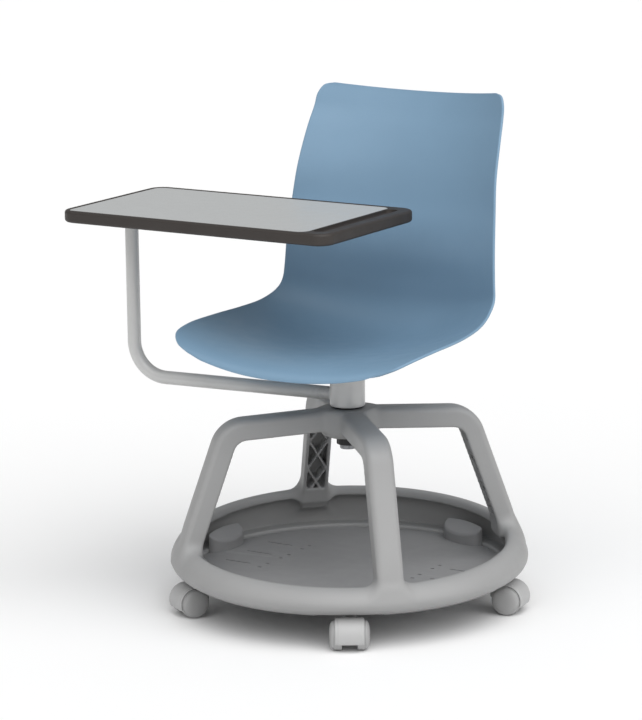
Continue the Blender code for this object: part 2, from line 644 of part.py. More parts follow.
def make_casters(root, body_grey, wheel_grey, steel):
    flange = STEM_RADIUS + 0.004
    stem_profile = [(0.0, STEM_BOTTOM), (STEM_RADIUS, STEM_BOTTOM), (STEM_RADIUS, STEM_FLANGE_BOTTOM),
                    (flange, STEM_FLANGE_BOTTOM), (flange, TRAY_FLANGE_BOTTOM - GAP),
                    (STEM_RADIUS, TRAY_FLANGE_BOTTOM - GAP), (STEM_RADIUS, STEM_TOP), (0.0, STEM_TOP)]
    axle_half = WHEEL_GAP / 2 + WHEEL_WIDTH - 0.001
    shared = {
        "stem": turned(stem_profile, "stem", 10),
        "hood": hood_mesh(),
        "fender": fender_mesh(),
        "neck": turned(rod_profile(NECK_RADIUS, WHEEL_RADIUS, NECK_TOP), "neck", 16),
        "stem_bore": turned(rod_profile(STEM_RADIUS + STEM_CLEARANCE, STEM_BOTTOM - 0.002, 0.070), "stem_bore", 16),
        "axle_bore": turned(rod_profile(AXLE_RADIUS + GAP, -0.03, 0.03), "axle_bore", 10),
        "axle": turned(rod_profile(AXLE_RADIUS, -axle_half, axle_half, 0.0004), "axle", 10),
        "wheel": wheel_mesh(),
    }
    for number, (angle, heading) in enumerate(zip(CASTER_ANGLES, CASTER_HEADINGS), start=1):
        make_caster(number, angle, heading, root, body_grey, wheel_grey, steel, shared)


def main():
    clear_scene()
    blue = material("shell_blue_polypropylene", (0.18, 0.32, 0.47), 0.45)
    frame_grey = material("base_grey_moulding", (0.36, 0.36, 0.36), 0.50)
    tray_grey = material("tray_grey_moulding", (0.24, 0.24, 0.24), 0.55)
    tube_grey = material("tube_grey_paint", (0.52, 0.52, 0.52), 0.35, 0.1)
    dark = material("tablet_dark_polymer", (0.055, 0.045, 0.040), 0.50)
    pale = material("tablet_pale_laminate", (0.50, 0.52, 0.52), 0.40)
    steel = material("zinc_plated_steel", (0.45, 0.45, 0.46), 0.35, 0.9)
    black = material("black_polymer", (0.02, 0.02, 0.02), 0.50)
    wheel_grey = material("wheel_grey_polymer", (0.34, 0.34, 0.34), 0.55)

    root = pivot("column_axis", (COLUMN_X, 0, 0))
    make_base(root, frame_grey)
    make_tray(root, tray_grey)
    make_column(root, steel, black)
    seat = make_seat(root, blue, steel, frame_grey)
    arm = make_arm(seat, tube_grey, black)
    make_tablet(arm, dark, pale, steel)
    make_casters(root, frame_grey, wheel_grey, steel)


main()
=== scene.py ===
"""Student desk chair: the finished surfaces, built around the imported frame.

Everything is in metres in the part's own frame: +Z up, the sitter faces -Y.  Plan positions in the
functions below are measured from the column's axis, and each piece is shifted there when it is placed.
"""
import json

from math import atan2, cos, hypot, pi, radians, sin, sqrt

import bmesh
import bpy
import numpy as np
from mathutils import Matrix, Vector


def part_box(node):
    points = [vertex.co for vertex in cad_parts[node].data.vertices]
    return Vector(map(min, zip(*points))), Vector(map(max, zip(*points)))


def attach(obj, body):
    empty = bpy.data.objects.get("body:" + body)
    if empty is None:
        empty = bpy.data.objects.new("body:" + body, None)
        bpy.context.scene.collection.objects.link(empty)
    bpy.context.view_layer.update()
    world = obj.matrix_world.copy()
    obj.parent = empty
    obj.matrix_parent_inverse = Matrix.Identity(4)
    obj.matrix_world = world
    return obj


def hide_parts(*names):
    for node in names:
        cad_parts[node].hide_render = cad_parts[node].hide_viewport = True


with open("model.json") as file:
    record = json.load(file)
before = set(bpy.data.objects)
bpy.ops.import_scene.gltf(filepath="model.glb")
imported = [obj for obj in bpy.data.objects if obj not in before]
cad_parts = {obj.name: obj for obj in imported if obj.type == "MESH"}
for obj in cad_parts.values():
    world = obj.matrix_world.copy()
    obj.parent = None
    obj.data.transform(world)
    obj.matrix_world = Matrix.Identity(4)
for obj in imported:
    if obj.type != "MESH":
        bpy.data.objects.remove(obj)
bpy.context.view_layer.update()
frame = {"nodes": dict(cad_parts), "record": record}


def middle(node):
    low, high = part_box(node)
    return (low + high) / 2


def spans(node):
    low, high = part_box(node)
    return high - low


# ---- dimensions
GAP = 0.0003
COLUMN_X = middle("spindle").x
COLUMN = Matrix.Translation((COLUMN_X, 0.0, 0.0))

# ring, legs and hub
RING_RADIUS = spans("base_frame").y / 2
RING_INNER_RADIUS = RING_RADIUS - 0.043
RING_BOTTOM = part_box("base_frame")[0].z
RING_TOP_MEAN = 0.1275
RING_TOP_SWING = 0.0175
BASE_HEADING = radians(-58.6)
RING_SECTION = [                 # out from the ring's widest part, share of its height
    (-0.0285, 0.00), (-0.0140, 0.12), (-0.0045, 0.26), (0.0, 0.45), (-0.0030, 0.64), (-0.0100, 0.82),
    (-0.0190, 0.95), (-0.0280, 1.00), (-0.0365, 0.96), (-0.0410, 0.82), (-0.0430, 0.62), (-0.0430, 0.00),
]
RING_WALL = 0.016                # that the recess in the inner side leaves
RECESS_BOTTOM = 0.012            # above the ring's bottom
RECESS_TOP = 0.016               # below the ring's top
BEAD_INSET = 0.0255
BEAD_RADIUS = 0.0016
LEG_HALF_WIDTH = 0.024
LEG_HALF_DEPTH = 0.019
LEG_CROWN = 0.0022               # fall of the outer face from its middle to its sides
LEG_CORNER_OUTER = 0.010
LEG_CORNER_INNER = 0.0035
LEG_SKIN = 0.014                 # between the channel's floor and the outer face
FOOT_INSET = 0.0050              # of the legs' feet from the ring's widest part
LEG_LEAN = radians(19.5)
LEG_BEND_RADIUS = 0.045
LEG_BEND_CENTRE = (0.190, 0.294)
LEG_ARM_SLOPE = radians(2.8)
LEG_FOOT = 0.106
LEG_WALL = 0.0060
RIB_THICKNESS = 0.0036
RIB_CELL = 0.060
RIB_SET_BACK = 0.0015
CHANNEL_START = -0.020           # along the leaning leg, from the end of its bend
CHANNEL_END = 0.148             # height
HUB_RADIUS = 0.046
HUB_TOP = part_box("base_frame")[1].z
HUB_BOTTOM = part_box("spindle_nut")[1].z + GAP
NUT_POCKET = 0.0225
MESH_PITCH = 0.0028              # of the base's mesh
# widths over which the base's surfaces run into each other
RECESS_BLEND = 0.004
FOOT_END_BLEND = 0.006
FOOT_BLEND = 0.020
RIB_BLEND = 0.001
CHANNEL_BLEND = 0.0040
LEG_BLEND = 0.030
HUB_BLEND = 0.016
RING_BLEND = 0.026
HUB_TOP_BLEND = 0.0006
HUB_EDGE = 0.006
SPINDLE_RADIUS = spans("spindle").x / 2

# seat shell
SHELL_THICKNESS = 0.005
SHELL_BEND_POWER = 2.2           # how late the shell's sides start to turn up
SHELL_STATIONS = [
    # centre (y, z), half width, how far forward and up the edge stands from the centre
    (-0.2290, 0.4560, 0.168, 0.008, 0.018),
    (-0.2270, 0.4640, 0.200, 0.010, 0.022),
    (-0.2180, 0.4715, 0.228, 0.012, 0.028),
    (-0.1950, 0.4780, 0.248, 0.014, 0.034),
    (-0.1450, 0.4800, 0.257, 0.014, 0.039),
    (-0.0600, 0.4755, 0.256, 0.010, 0.046),
    (0.0300, 0.4690, 0.246, -0.004, 0.055),
    (0.1100, 0.4690, 0.235, -0.028, 0.061),
    (0.1700, 0.4850, 0.227, -0.050, 0.058),
    (0.2020, 0.5180, 0.224, -0.064, 0.042),
    (0.2090, 0.5600, 0.2215, -0.067, 0.028),
    (0.2065, 0.6200, 0.2190, -0.060, 0.018),
    (0.2115, 0.6900, 0.2145, -0.054, 0.012),
    (0.2265, 0.7600, 0.2090, -0.055, 0.010),
    (0.2520, 0.8300, 0.2030, -0.053, 0.010),
    (0.2675, 0.8650, 0.1985, -0.051, 0.011),
    (0.2760, 0.8860, 0.1955, -0.052, 0.012),
    (0.2810, 0.8985, 0.1870, -0.048, 0.014),
    (0.2835, 0.9055, 0.1700, -0.040, 0.011),
]
SEAT_SCREW_PITCH = 0.130
BOSS_TOP_FRONT = 0.4755         # the bosses end inside the shell's thickness
BOSS_TOP_REAR = 0.4695
BOSS_BORE = 0.0029
BOSS_RADIUS_LOW = 0.0085
BOSS_RADIUS_TOP = 0.0105

# arm and tablet
POST_X = middle("post_bushing").x - COLUMN_X
POST_Y = middle("post_bushing").y
TUBE_RADIUS = 0.0125
TUBE_BORE_RADIUS = 0.0103
ARM_HEIGHT = 0.388
ARM_BEND_RADIUS = 0.065
COLLAR_RADIUS = spans("arm_collar").x / 2
COLLAR_CLEARANCE = 0.0004
COLLAR_EDGE = 0.0022
WELD_SIZE = 0.0022
WELD_RIPPLE = 0.06
WELD_RIPPLES = 26
TABLET_LOW, TABLET_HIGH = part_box("tablet_rim")
TABLET_CORNER = 0.030
TABLET_EDGE = 0.0055
HOLLOW_INSET = 0.014
PANEL_LOW, PANEL_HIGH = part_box("tablet_panel")
TROUGH_WIDTH = 0.024
TROUGH_LENGTH = 0.262
TROUGH_DEPTH = 0.007
HOLLOW_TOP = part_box("tablet_bracket")[1].z + GAP
TABLET_RIB = 0.0022
TABLET_RIB_PITCH = 0.085

# casters
CASTER_PLACES = [middle(f"caster_{number}_stem") for number in range(1, 6)]
CASTER_ANGLES = [atan2(place.y, place.x - COLUMN_X) for place in CASTER_PLACES]
STEM_CIRCLE = hypot(CASTER_PLACES[0].x - COLUMN_X, CASTER_PLACES[0].y)
CASTER_TRAILS = [middle(f"caster_{number}_axle") - stem
                 for number, stem in enumerate(CASTER_PLACES, start=1)]
CASTER_HEADINGS = [atan2(trail.y, trail.x) for trail in CASTER_TRAILS]
CASTER_TRAIL = hypot(CASTER_TRAILS[0].x, CASTER_TRAILS[0].y)
WHEEL_RADIUS = 0.0265
WHEEL_WIDTH = 0.0220
WHEEL_GAP = 0.0270
HOOD_RADIUS = 0.0305
HOOD_WIDTH = 0.0510
AXLE_RADIUS = 0.004
STEM_RADIUS = 0.0055
STEM_CLEARANCE = 0.0005
STEM_BORE_BOTTOM = 0.028
STEM_BORE_TOP = 0.070
NECK_RADIUS = 0.0110
NECK_BOTTOM = 0.0265
NECK_TOP = 0.0555

# tray
TRAY_TOP = 0.068
TRAY_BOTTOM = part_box("storage_tray")[0].z
TRAY_THICKNESS = 0.004
TRAY_FLANGE_RADIUS = 0.292
POD_WIDTH = 0.100
POD_DEPTH = 0.024
POD_FRONT_TOP = 0.086
POD_SLOPE = 0.65
POD_EDGE = 0.0045
SLOT_PITCH = 0.072
SLOT_REACH = 0.196
DRAIN_REACH = 0.140
DRAIN_OFFSET = 0.013
NOTCH_WIDTH = 0.118
NOTCH_DEPTH = 0.030
SLOT_SIZE = (0.055, 0.004, 0.0019)              # length, width, corner
DRAIN_SIZE = (0.009, 0.006, 0.0029)
TRAY_RIB_SIZE = (0.170, 0.0028, 0.0009)
TRAY_RIB_MIDDLE = 0.150
TRAY_RIB_COUNT = 24
POD_BORE_BOTTOM = 0.045
POD_BORE_TOP = 0.0908

# floor, light and camera
FLOOR_REACH = 30
FLOOR_GREY = 0.93
SUN_SPREAD = radians(68)
CAMERA_POSITION = (3.192 + COLUMN_X, -5.179, 1.7416)
CAMERA_FORWARD = (-0.51972, 0.82881, -0.20729)
CAMERA_UP = (-0.09893, 0.18261, 0.97820)
CAMERA_LENS = 172.8


# ---- mesh helpers
def mesh_from(vertices, faces, name):
    mesh = bpy.data.meshes.new(name)
    mesh.from_pydata([tuple(v) for v in vertices], [], [tuple(f) for f in faces])
    work = bmesh.new()
    work.from_mesh(mesh)
    bmesh.ops.recalc_face_normals(work, faces=work.faces)
    work.to_mesh(mesh)
    work.free()
    return mesh


def loft(rings, name, closed_path=False):
    """Skin rings of equally many points, with flat ends unless the path closes on itself."""
    count = len(rings[0])
    vertices = [point for ring in rings for point in ring]
    faces = []
    for i in range(len(rings) if closed_path else len(rings) - 1):
        here = i * count
        there = ((i + 1) % len(rings)) * count
        for k in range(count):
            following = (k + 1) % count
            faces.append((here + k, here + following, there + following, there + k))
    if not closed_path:
        faces.append(range(count - 1, -1, -1))
        faces.append(range(len(vertices) - count, len(vertices)))
    return mesh_from(vertices, faces, name)


def turned(profile, name, segments=64):
    """Solid of revolution about Z from a closed (radius, height) outline."""
    rings = []
    for k in range(segments):
        angle = 2 * pi * k / segments
        rings.append([(r * cos(angle), r * sin(angle), z) for r, z in profile])
    mesh = loft(rings, name, closed_path=True)
    work = bmesh.new()
    work.from_mesh(mesh)
    bmesh.ops.remove_doubles(work, verts=work.verts, dist=1e-6)
    bmesh.ops.dissolve_degenerate(work, edges=work.edges, dist=1e-6)
    bmesh.ops.recalc_face_normals(work, faces=work.faces)
    work.to_mesh(mesh)
    work.free()
    return mesh


def rounded_outline(corners, steps=5):
    """Closed outline from (x, y, corner radius) points, its corners as arcs."""
    outline = []
    count = len(corners)
    for i, (x, y, radius) in enumerate(corners):
        here = Vector((x, y))
        if radius <= 0:
            outline.append((x, y))
            continue
        before = (Vector(corners[i - 1][:2]) - here).normalized()
        after = (Vector(corners[(i + 1) % count][:2]) - here).normalized()
        half = before.angle(after) / 2
        reach = radius / np.tan(half)
        centre = here + (before + after).normalized() * (radius / sin(half))
        first = here + before * reach - centre
        last = here + after * reach - centre
        sweep = first.angle_signed(last)
        for k in range(steps + 1):
            turn = -sweep * k / steps
            outline.append((centre.x + first.x * cos(turn) - first.y * sin(turn),
                            centre.y + first.x * sin(turn) + first.y * cos(turn)))
    return outline


def rounded_rectangle(length, width, corner, steps=8, centre=(0.0, 0.0)):
    outline = []
    for side_x, side_y, start in ((1, 1, 0), (-1, 1, 90), (-1, -1, 180), (1, -1, 270)):
        for k in range(steps + 1):
            angle = radians(start + 90 * k / steps)
            outline.append((centre[0] + side_x * (length / 2 - corner) + corner * cos(angle),
                            centre[1] + side_y * (width / 2 - corner) + corner * sin(angle)))
    return outline


def at_height(outline, z):
    return [(x, y, z) for x, y in outline]


def prism(outline, low, high, name):
    return loft([at_height(outline, low), at_height(outline, high)], name)


def cylinder(radius, low, high, name, segments=32):
    return turned([(0.0, low), (radius, low), (radius, high), (0.0, high)], name, segments)


def smooth_curve(points, steps):
    """Centripetal Catmull-Rom curve through points of any dimension, steps samples per span."""
    knots = [Vector(p) for p in points]
    ends = [2 * knots[0] - knots[1]] + knots + [2 * knots[-1] - knots[-2]]
    result = []
    for i in range(1, len(ends) - 2):
        p0, p1, p2, p3 = ends[i - 1:i + 3]
        t1 = sqrt((p1 - p0).length)
        t2 = t1 + sqrt((p2 - p1).length)
        t3 = t2 + sqrt((p3 - p2).length)
        for k in range(steps):
            t = t1 + (t2 - t1) * k / steps
            a1 = p0 * ((t1 - t) / t1) + p1 * (t / t1)
            a2 = p1 * ((t2 - t) / (t2 - t1)) + p2 * ((t - t1) / (t2 - t1))
            a3 = p2 * ((t3 - t) / (t3 - t2)) + p3 * ((t - t2) / (t3 - t2))
            b1 = a1 * ((t2 - t) / t2) + a2 * (t / t2)
            b2 = a2 * ((t3 - t) / (t3 - t1)) + a3 * ((t - t1) / (t3 - t1))
            result.append(b1 * ((t2 - t) / (t2 - t1)) + b2 * ((t - t1) / (t2 - t1)))
    result.append(knots[-1])
    return result


def joined(meshes, name):
    """One mesh from (mesh, matrix) pairs."""
    work = bmesh.new()
    for mesh, matrix in meshes:
        copy = mesh.copy()
        copy.transform(matrix)
        work.from_mesh(copy)
    result = bpy.data.meshes.new(name)
    work.to_mesh(result)
    work.free()
    return result


def cut(mesh, tool, operation="DIFFERENCE"):
    """Boolean of two meshes with the EXACT solver, applied."""
    target = bpy.data.objects.new("cut_target", mesh)
    cutter = bpy.data.objects.new("cut_tool", tool)
    for item in (target, cutter):
        bpy.context.scene.collection.objects.link(item)
    modifier = target.modifiers.new("boolean", "BOOLEAN")
    modifier.operation = operation
    modifier.solver = "EXACT"
    modifier.object = cutter
    depsgraph = bpy.context.evaluated_depsgraph_get()
    result = bpy.data.meshes.new_from_object(target.evaluated_get(depsgraph))
    bpy.data.objects.remove(target)
    bpy.data.objects.remove(cutter)
    return result


def place(name, mesh, body, slot, replaces=(), matrix=COLUMN, sharp=32, weighted=False):
    """Put a finished piece in the scene, on its body, in place of the CAD nodes that it stands for."""
    mesh.transform(matrix)
    mesh.materials.clear()
    mesh.materials.append(finishes[slot])
    mesh.shade_smooth()
    mesh.set_sharp_from_angle(angle=radians(sharp))
    piece = bpy.data.objects.new(name, mesh)
    bpy.context.scene.collection.objects.link(piece)
    if weighted:
        modifier = piece.modifiers.new("weighted_normals", "WEIGHTED_NORMAL")
        modifier.keep_sharp = True
    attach(piece, body)
    if replaces:
        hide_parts(*replaces)
    return piece


# ---- materials
def linear(red, green, blue):
    """Linear colour from an sRGB one, 0 to 255."""
    share = [value / 255 for value in (red, green, blue)]
    return tuple(s / 12.92 if s <= 0.04045 else ((s + 0.055) / 1.055) ** 2.4 for s in share)


class Finish:
    """Builds one procedural material, in the object's own coordinates."""

    def __init__(self, name):
        self.material = bpy.data.materials.new(name)
        self.material.use_nodes = True
        self.tree = self.material.node_tree
        self.shader = self.tree.nodes["Principled BSDF"]
        self.place = self.tree.nodes.new("ShaderNodeTexCoord").outputs["Object"]

    def link(self, output, socket):
        self.tree.links.new(output, socket)

    def noise(self, size, detail=2.0, stretch=(1, 1, 1)):
        """Noise with features of about size metres."""
        scale = self.tree.nodes.new("ShaderNodeMapping")
        scale.inputs["Scale"].default_value = [s / size for s in stretch]
        self.link(self.place, scale.inputs["Vector"])
        node = self.tree.nodes.new("ShaderNodeTexNoise")
        node.inputs["Scale"].default_value = 1.0
        node.inputs["Detail"].default_value = detail
        self.link(scale.outputs[0], node.inputs["Vector"])
        return node.outputs["Fac"]

    def ranged(self, value, low, high, to_low, to_high):
        node = self.tree.nodes.new("ShaderNodeMapRange")
        for name, number in (("From Min", low), ("From Max", high), ("To Min", to_low), ("To Max", to_high)):
            node.inputs[name].default_value = number
        self.link(value, node.inputs["Value"])
        return node.outputs["Result"]

    def clouds(self, size, detail, low, high, to_low=0.0, to_high=1.0):
        """Noise whose part from low to high is spread over to_low to to_high."""
        return self.ranged(self.noise(size, detail), low, high, to_low, to_high)

    def times(self, first, second):
        node = self.tree.nodes.new("ShaderNodeMath")
        node.operation = "MULTIPLY"
        self.link(first, node.inputs[0])
        self.link(second, node.inputs[1])
        return node.outputs[0]

    def mix(self, share, first, second):
        node = self.tree.nodes.new("ShaderNodeMix")
        node.data_type = "RGBA"
        self.link(share, node.inputs["Factor"])
        for socket, value in ((node.inputs[6], first), (node.inputs[7], second)):
            if isinstance(value, tuple):
                socket.default_value = (*value, 1.0)
            else:
                self.link(value, socket)
        return node.outputs[2]

    def edges(self, start, end):
        """0 on flat and hollow places, 1 on worn convex edges."""
        geometry = self.tree.nodes.new("ShaderNodeNewGeometry")
        return self.ranged(geometry.outputs["Pointiness"], start, end, 0.0, 1.0)

    def bump(self, layers):
        """Stack of (height output, depth in metres) bumps."""
        normal = None
        for height, depth in layers:
            node = self.tree.nodes.new("ShaderNodeBump")
            node.inputs["Strength"].default_value = 1.0
            node.inputs["Distance"].default_value = depth
            self.link(height, node.inputs["Height"])
            if normal is not None:
                self.link(normal, node.inputs["Normal"])
            normal = node.outputs["Normal"]
        self.link(normal, self.shader.inputs["Normal"])

    def colour(self, output):
        self.link(output, self.shader.inputs["Base Color"])

    def roughness(self, output):
        self.link(output, self.shader.inputs["Roughness"])

    def set(self, **values):
        for name, value in values.items():
            self.shader.inputs[name.replace("_", " ")].default_value = value


def shade(colour, factor):
    return tuple(min(1.0, channel * factor) for channel in colour)


def moulded(name, colour, rough, grain=0.0009, depth=0.00003, drift=0.05, wear=1.25):
    """Injection-moulded plastic: fine grain, slow colour drift, and edges rubbed lighter."""
    finish = Finish(name)
    drifting = finish.mix(finish.clouds(0.11, 3.0, 0.35, 0.65),
                          shade(colour, 1 - drift), shade(colour, 1 + drift))
    flecked = finish.mix(finish.clouds(0.0016, 2.0, 0.30, 0.70),
                         drifting, shade(colour, 1 + drift * 0.6))
    rubbed = finish.times(finish.edges(0.53, 0.62), finish.clouds(0.02, 4.0, 0.35, 0.65, 0.2, 1.0))
    finish.colour(finish.mix(rubbed, flecked, shade(colour, wear)))
    finish.roughness(finish.clouds(0.035, 5.0, 0.30, 0.70, rough - 0.06, rough + 0.07))
    finish.bump([(finish.noise(0.060, 2.0), 0.00025), (finish.noise(grain, 2.0), depth)])
    finish.set(Specular_IOR_Level=0.45)
    return finish.material


def painted(name, colour, rough):
    """Powder coat: orange peel over steel, a few rubbed places along edges."""
    finish = Finish(name)
    drifting = finish.mix(finish.clouds(0.09, 3.0, 0.35, 0.65),
                          shade(colour, 0.96), shade(colour, 1.04))
    rubbed = finish.times(finish.edges(0.54, 0.64), finish.clouds(0.008, 4.0, 0.45, 0.60))
    finish.colour(finish.mix(rubbed, drifting, shade(colour, 0.72)))
    finish.roughness(finish.clouds(0.018, 4.0, 0.30, 0.70, rough - 0.05, rough + 0.08))
    finish.bump([(finish.noise(0.0022, 2.0), 0.00006), (finish.noise(0.0006, 1.0), 0.000012)])
    finish.set(Metallic=0.1, Coat_Weight=0.25, Coat_Roughness=0.25)
    return finish.material


def laminate(name, colour, rough):
    """Pale writing surface: two sizes of speck, faint scuffs, almost flat."""
    finish = Finish(name)
    specks = finish.mix(finish.clouds(0.0018, 3.0, 0.58, 0.66), colour, shade(colour, 0.86))
    light = finish.mix(finish.clouds(0.0011, 2.0, 0.62, 0.70), specks, shade(colour, 1.12))
    scuffs = finish.ranged(finish.noise(0.004, 6.0, (0.12, 1.0, 1.0)), 0.62, 0.72, 0.0, 0.35)
    finish.colour(finish.mix(scuffs, light, shade(colour, 1.10)))
    finish.roughness(finish.clouds(0.030, 6.0, 0.30, 0.70, rough - 0.07, rough + 0.09))
    finish.bump([(finish.noise(0.0012, 2.0), 0.000012)])
    finish.set(Specular_IOR_Level=0.5)
    return finish.material


def plated(name, colour, rough):
    """Zinc-plated steel: fine brushing, cloudy roughness."""
    finish = Finish(name)
    finish.colour(finish.mix(finish.clouds(0.012, 4.0, 0.35, 0.65),
                             shade(colour, 0.85), shade(colour, 1.15)))
    finish.roughness(finish.clouds(0.006, 5.0, 0.30, 0.70, rough - 0.10, rough + 0.12))
    finish.bump([(finish.noise(0.0008, 3.0, (1.0, 1.0, 0.15)), 0.000015)])
    finish.set(Metallic=1.0)
    return finish.material


def make_finishes():
    return {
        "shell_plastic": moulded("shell_plastic", linear(120, 151, 176), 0.48, drift=0.025, wear=1.10),
        "base_moulding": moulded("base_moulding", linear(152, 152, 152), 0.48, drift=0.035, wear=1.12),
        "tray_moulding": moulded("tray_moulding", linear(138, 138, 139), 0.54, drift=0.05, wear=1.15),
        "tube_paint": painted("tube_paint", linear(200, 200, 199), 0.38),
        "tablet_edge": moulded("tablet_edge", linear(50, 45, 42), 0.55, 0.0008, 0.00005, 0.08, 1.5),
        "tablet_surface": laminate("tablet_surface", linear(178, 180, 180), 0.45),
        "zinc_steel": plated("zinc_steel", linear(140, 141, 144), 0.42),
        "black_polymer": moulded("black_polymer", linear(30, 30, 31), 0.50, drift=0.10, wear=1.6),
        "caster_moulding": moulded("caster_moulding", linear(174, 174, 174), 0.46, drift=0.04, wear=1.12),
        "wheel_polymer": moulded("wheel_polymer", linear(158, 158, 158), 0.52, drift=0.06, wear=1.10),
    }


# ---- base moulding, as one blended solid
def blend_min(a, b, width):
    """The smaller of two distances, with a fillet about width wide where they meet."""
    share = np.clip(0.5 + 0.5 * (b - a) / width, 0.0, 1.0)
    return b + (a - b) * share - width * share * (1 - share)


def blend_max(a, b, width):
    return -blend_min(-a, -b, width)


def rounded_box_distance(x, z, half_x, half_z, radius):
    over_x = np.abs(x) - half_x + radius
    over_z = np.abs(z) - half_z + radius
    return (np.minimum(np.maximum(over_x, over_z), 0)
            + np.hypot(np.maximum(over_x, 0), np.maximum(over_z, 0)) - radius)


def outline_distance(outline, x, z):
    """Signed distance to a closed outline, negative inside."""
    nearest = np.full(x.shape, 1e9)
    inside = np.zeros(x.shape, bool)
    for (x0, z0), (x1, z1) in zip(outline, outline[1:] + outline[:1]):
        along_x, along_z = x1 - x0, z1 - z0
        share = np.clip(((x - x0) * along_x + (z - z0) * along_z) / (along_x ** 2 + along_z ** 2), 0, 1)
        nearest = np.minimum(nearest, (x - x0 - along_x * share) ** 2 + (z - z0 - along_z * share) ** 2)
        if along_z != 0:
            crosses = ((z0 > z) != (z1 > z)) & (x < x0 + (z - z0) * along_x / along_z)
            inside ^= crosses
    return np.where(inside, -1, 1) * np.sqrt(nearest)


class RingSection:
    """Distance to the ring's section at its mean height, read from a fine table."""
    PITCH = 0.0005
    MARGIN = 0.045

    def __init__(self):
        height = RING_TOP_MEAN - RING_BOTTOM
        points = [(RING_RADIUS + offset, RING_BOTTOM + height * share) for offset, share in RING_SECTION]
        curve = smooth_curve(points, 6)
        outline = [tuple(point) for point in curve]
        self.low_r = RING_INNER_RADIUS - self.MARGIN
        self.low_z = RING_BOTTOM - self.MARGIN
        radii = np.arange(self.low_r, RING_RADIUS + self.MARGIN, self.PITCH)
        heights = np.arange(self.low_z, RING_TOP_MEAN + self.MARGIN, self.PITCH)
        grid_r, grid_z = np.meshgrid(radii, heights, indexing="ij")
        self.table = outline_distance(outline, grid_r, grid_z)

    def __call__(self, r, z):
        rows, columns = self.table.shape
        at_r = (r - self.low_r) / self.PITCH
        at_z = (z - self.low_z) / self.PITCH
        in_r = np.clip(at_r, 0, rows - 1.001)
        in_z = np.clip(at_z, 0, columns - 1.001)
        i = in_r.astype(int)
        k = in_z.astype(int)
        u, v = in_r - i, in_z - k
        value = ((1 - u) * (1 - v) * self.table[i, k] + u * (1 - v) * self.table[i + 1, k]
                 + (1 - u) * v * self.table[i, k + 1] + u * v * self.table[i + 1, k + 1])
        return value + np.hypot(at_r - in_r, at_z - in_z) * self.PITCH


ring_section = RingSection()


def ring_distance(x, y, z):
    """Ring whose top rises towards the back, hollowed from its inner side."""
    radius = np.hypot(x, y)
    top = RING_TOP_MEAN - RING_TOP_SWING * np.cos(np.arctan2(y, x) - BASE_HEADING)
    level = RING_BOTTOM + (z - RING_BOTTOM) * (RING_TOP_MEAN - RING_BOTTOM) / (top - RING_BOTTOM)
    body = ring_section(radius, level)
    recess = np.maximum(RING_BOTTOM + RECESS_BOTTOM - z, z - (top - RECESS_TOP))
    recess = np.maximum(radius - (RING_RADIUS - RING_WALL), recess)
    return blend_max(body, -recess, RECESS_BLEND)


def leg_distance(u, v, z):
    """Leg in its radial plane: level arm, bend, leaning leg, with a ribbed channel in its inner side."""
    centre_u, centre_z = LEG_BEND_CENTRE
    last = pi / 2 - LEG_LEAN
    du, dz = u - centre_u, z - centre_z
    on_arm = du * cos(LEG_ARM_SLOPE) - dz * sin(LEG_ARM_SLOPE) < 0
    on_leg = du * cos(last) - dz * sin(last) > 0
    arm_lift = du * sin(LEG_ARM_SLOPE) + dz * cos(LEG_ARM_SLOPE) - LEG_BEND_RADIUS
    leg_lift = du * sin(last) + dz * cos(last) - LEG_BEND_RADIUS
    bend_lift = np.hypot(du, dz) - LEG_BEND_RADIUS
    lift = np.where(on_arm & on_leg, np.maximum(arm_lift, leg_lift),
                    np.where(on_arm, arm_lift, np.where(on_leg, leg_lift, bend_lift)))
    crown = np.clip(lift / LEG_HALF_DEPTH, 0, 1) * LEG_CROWN * np.clip(v / LEG_HALF_WIDTH, -1.5, 1.5) ** 2
    corner = np.where(lift > 0, LEG_CORNER_OUTER, LEG_CORNER_INNER)
    body = rounded_box_distance(v, lift + crown, LEG_HALF_WIDTH, LEG_HALF_DEPTH, corner)
    body = blend_max(body, LEG_FOOT - z, FOOT_END_BLEND)
    body = blend_max(body, u - (RING_RADIUS - FOOT_INSET), FOOT_BLEND)

    along = du * cos(last) - dz * sin(last)
    cell = np.abs(np.mod(along, RIB_CELL) - RIB_CELL / 2)
    half_channel = LEG_HALF_WIDTH - LEG_WALL
    slope = half_channel / (RIB_CELL / 2)
    rib = np.abs(np.abs(v) - cell * slope) / hypot(1, slope) - RIB_THICKNESS / 2
    rib = np.maximum(rib, -(lift + LEG_HALF_DEPTH - RIB_SET_BACK))
    channel = np.maximum(np.abs(v) - half_channel, lift - (LEG_HALF_DEPTH - LEG_SKIN))
    channel = np.maximum(channel, np.maximum(CHANNEL_START - along, CHANNEL_END - z))
    channel = blend_max(channel, -rib, RIB_BLEND)
    return blend_max(body, -channel, CHANNEL_BLEND)


def base_distance(x, y, z):
    turned_x = (x + y) / sqrt(2)
    turned_y = (y - x) / sqrt(2)
    one, other = np.abs(turned_x), np.abs(turned_y)
    legs = blend_min(leg_distance(one, other, z), leg_distance(other, one, z), LEG_BLEND)
    radius = np.hypot(x, y)
    hub_lift = z - (HUB_TOP + HUB_BOTTOM) / 2
    hub = rounded_box_distance(radius, hub_lift, HUB_RADIUS, (HUB_TOP - HUB_BOTTOM) / 2, HUB_EDGE)
    upper = blend_min(legs, hub, HUB_BLEND)
    whole = blend_min(upper, ring_distance(x, y, z), RING_BLEND)
    whole = blend_max(whole, z - HUB_TOP, HUB_TOP_BLEND)
    pocket = np.maximum(radius - NUT_POCKET, z - HUB_BOTTOM)
    return np.maximum(np.maximum(whole, -pocket), SPINDLE_RADIUS + GAP - radius)


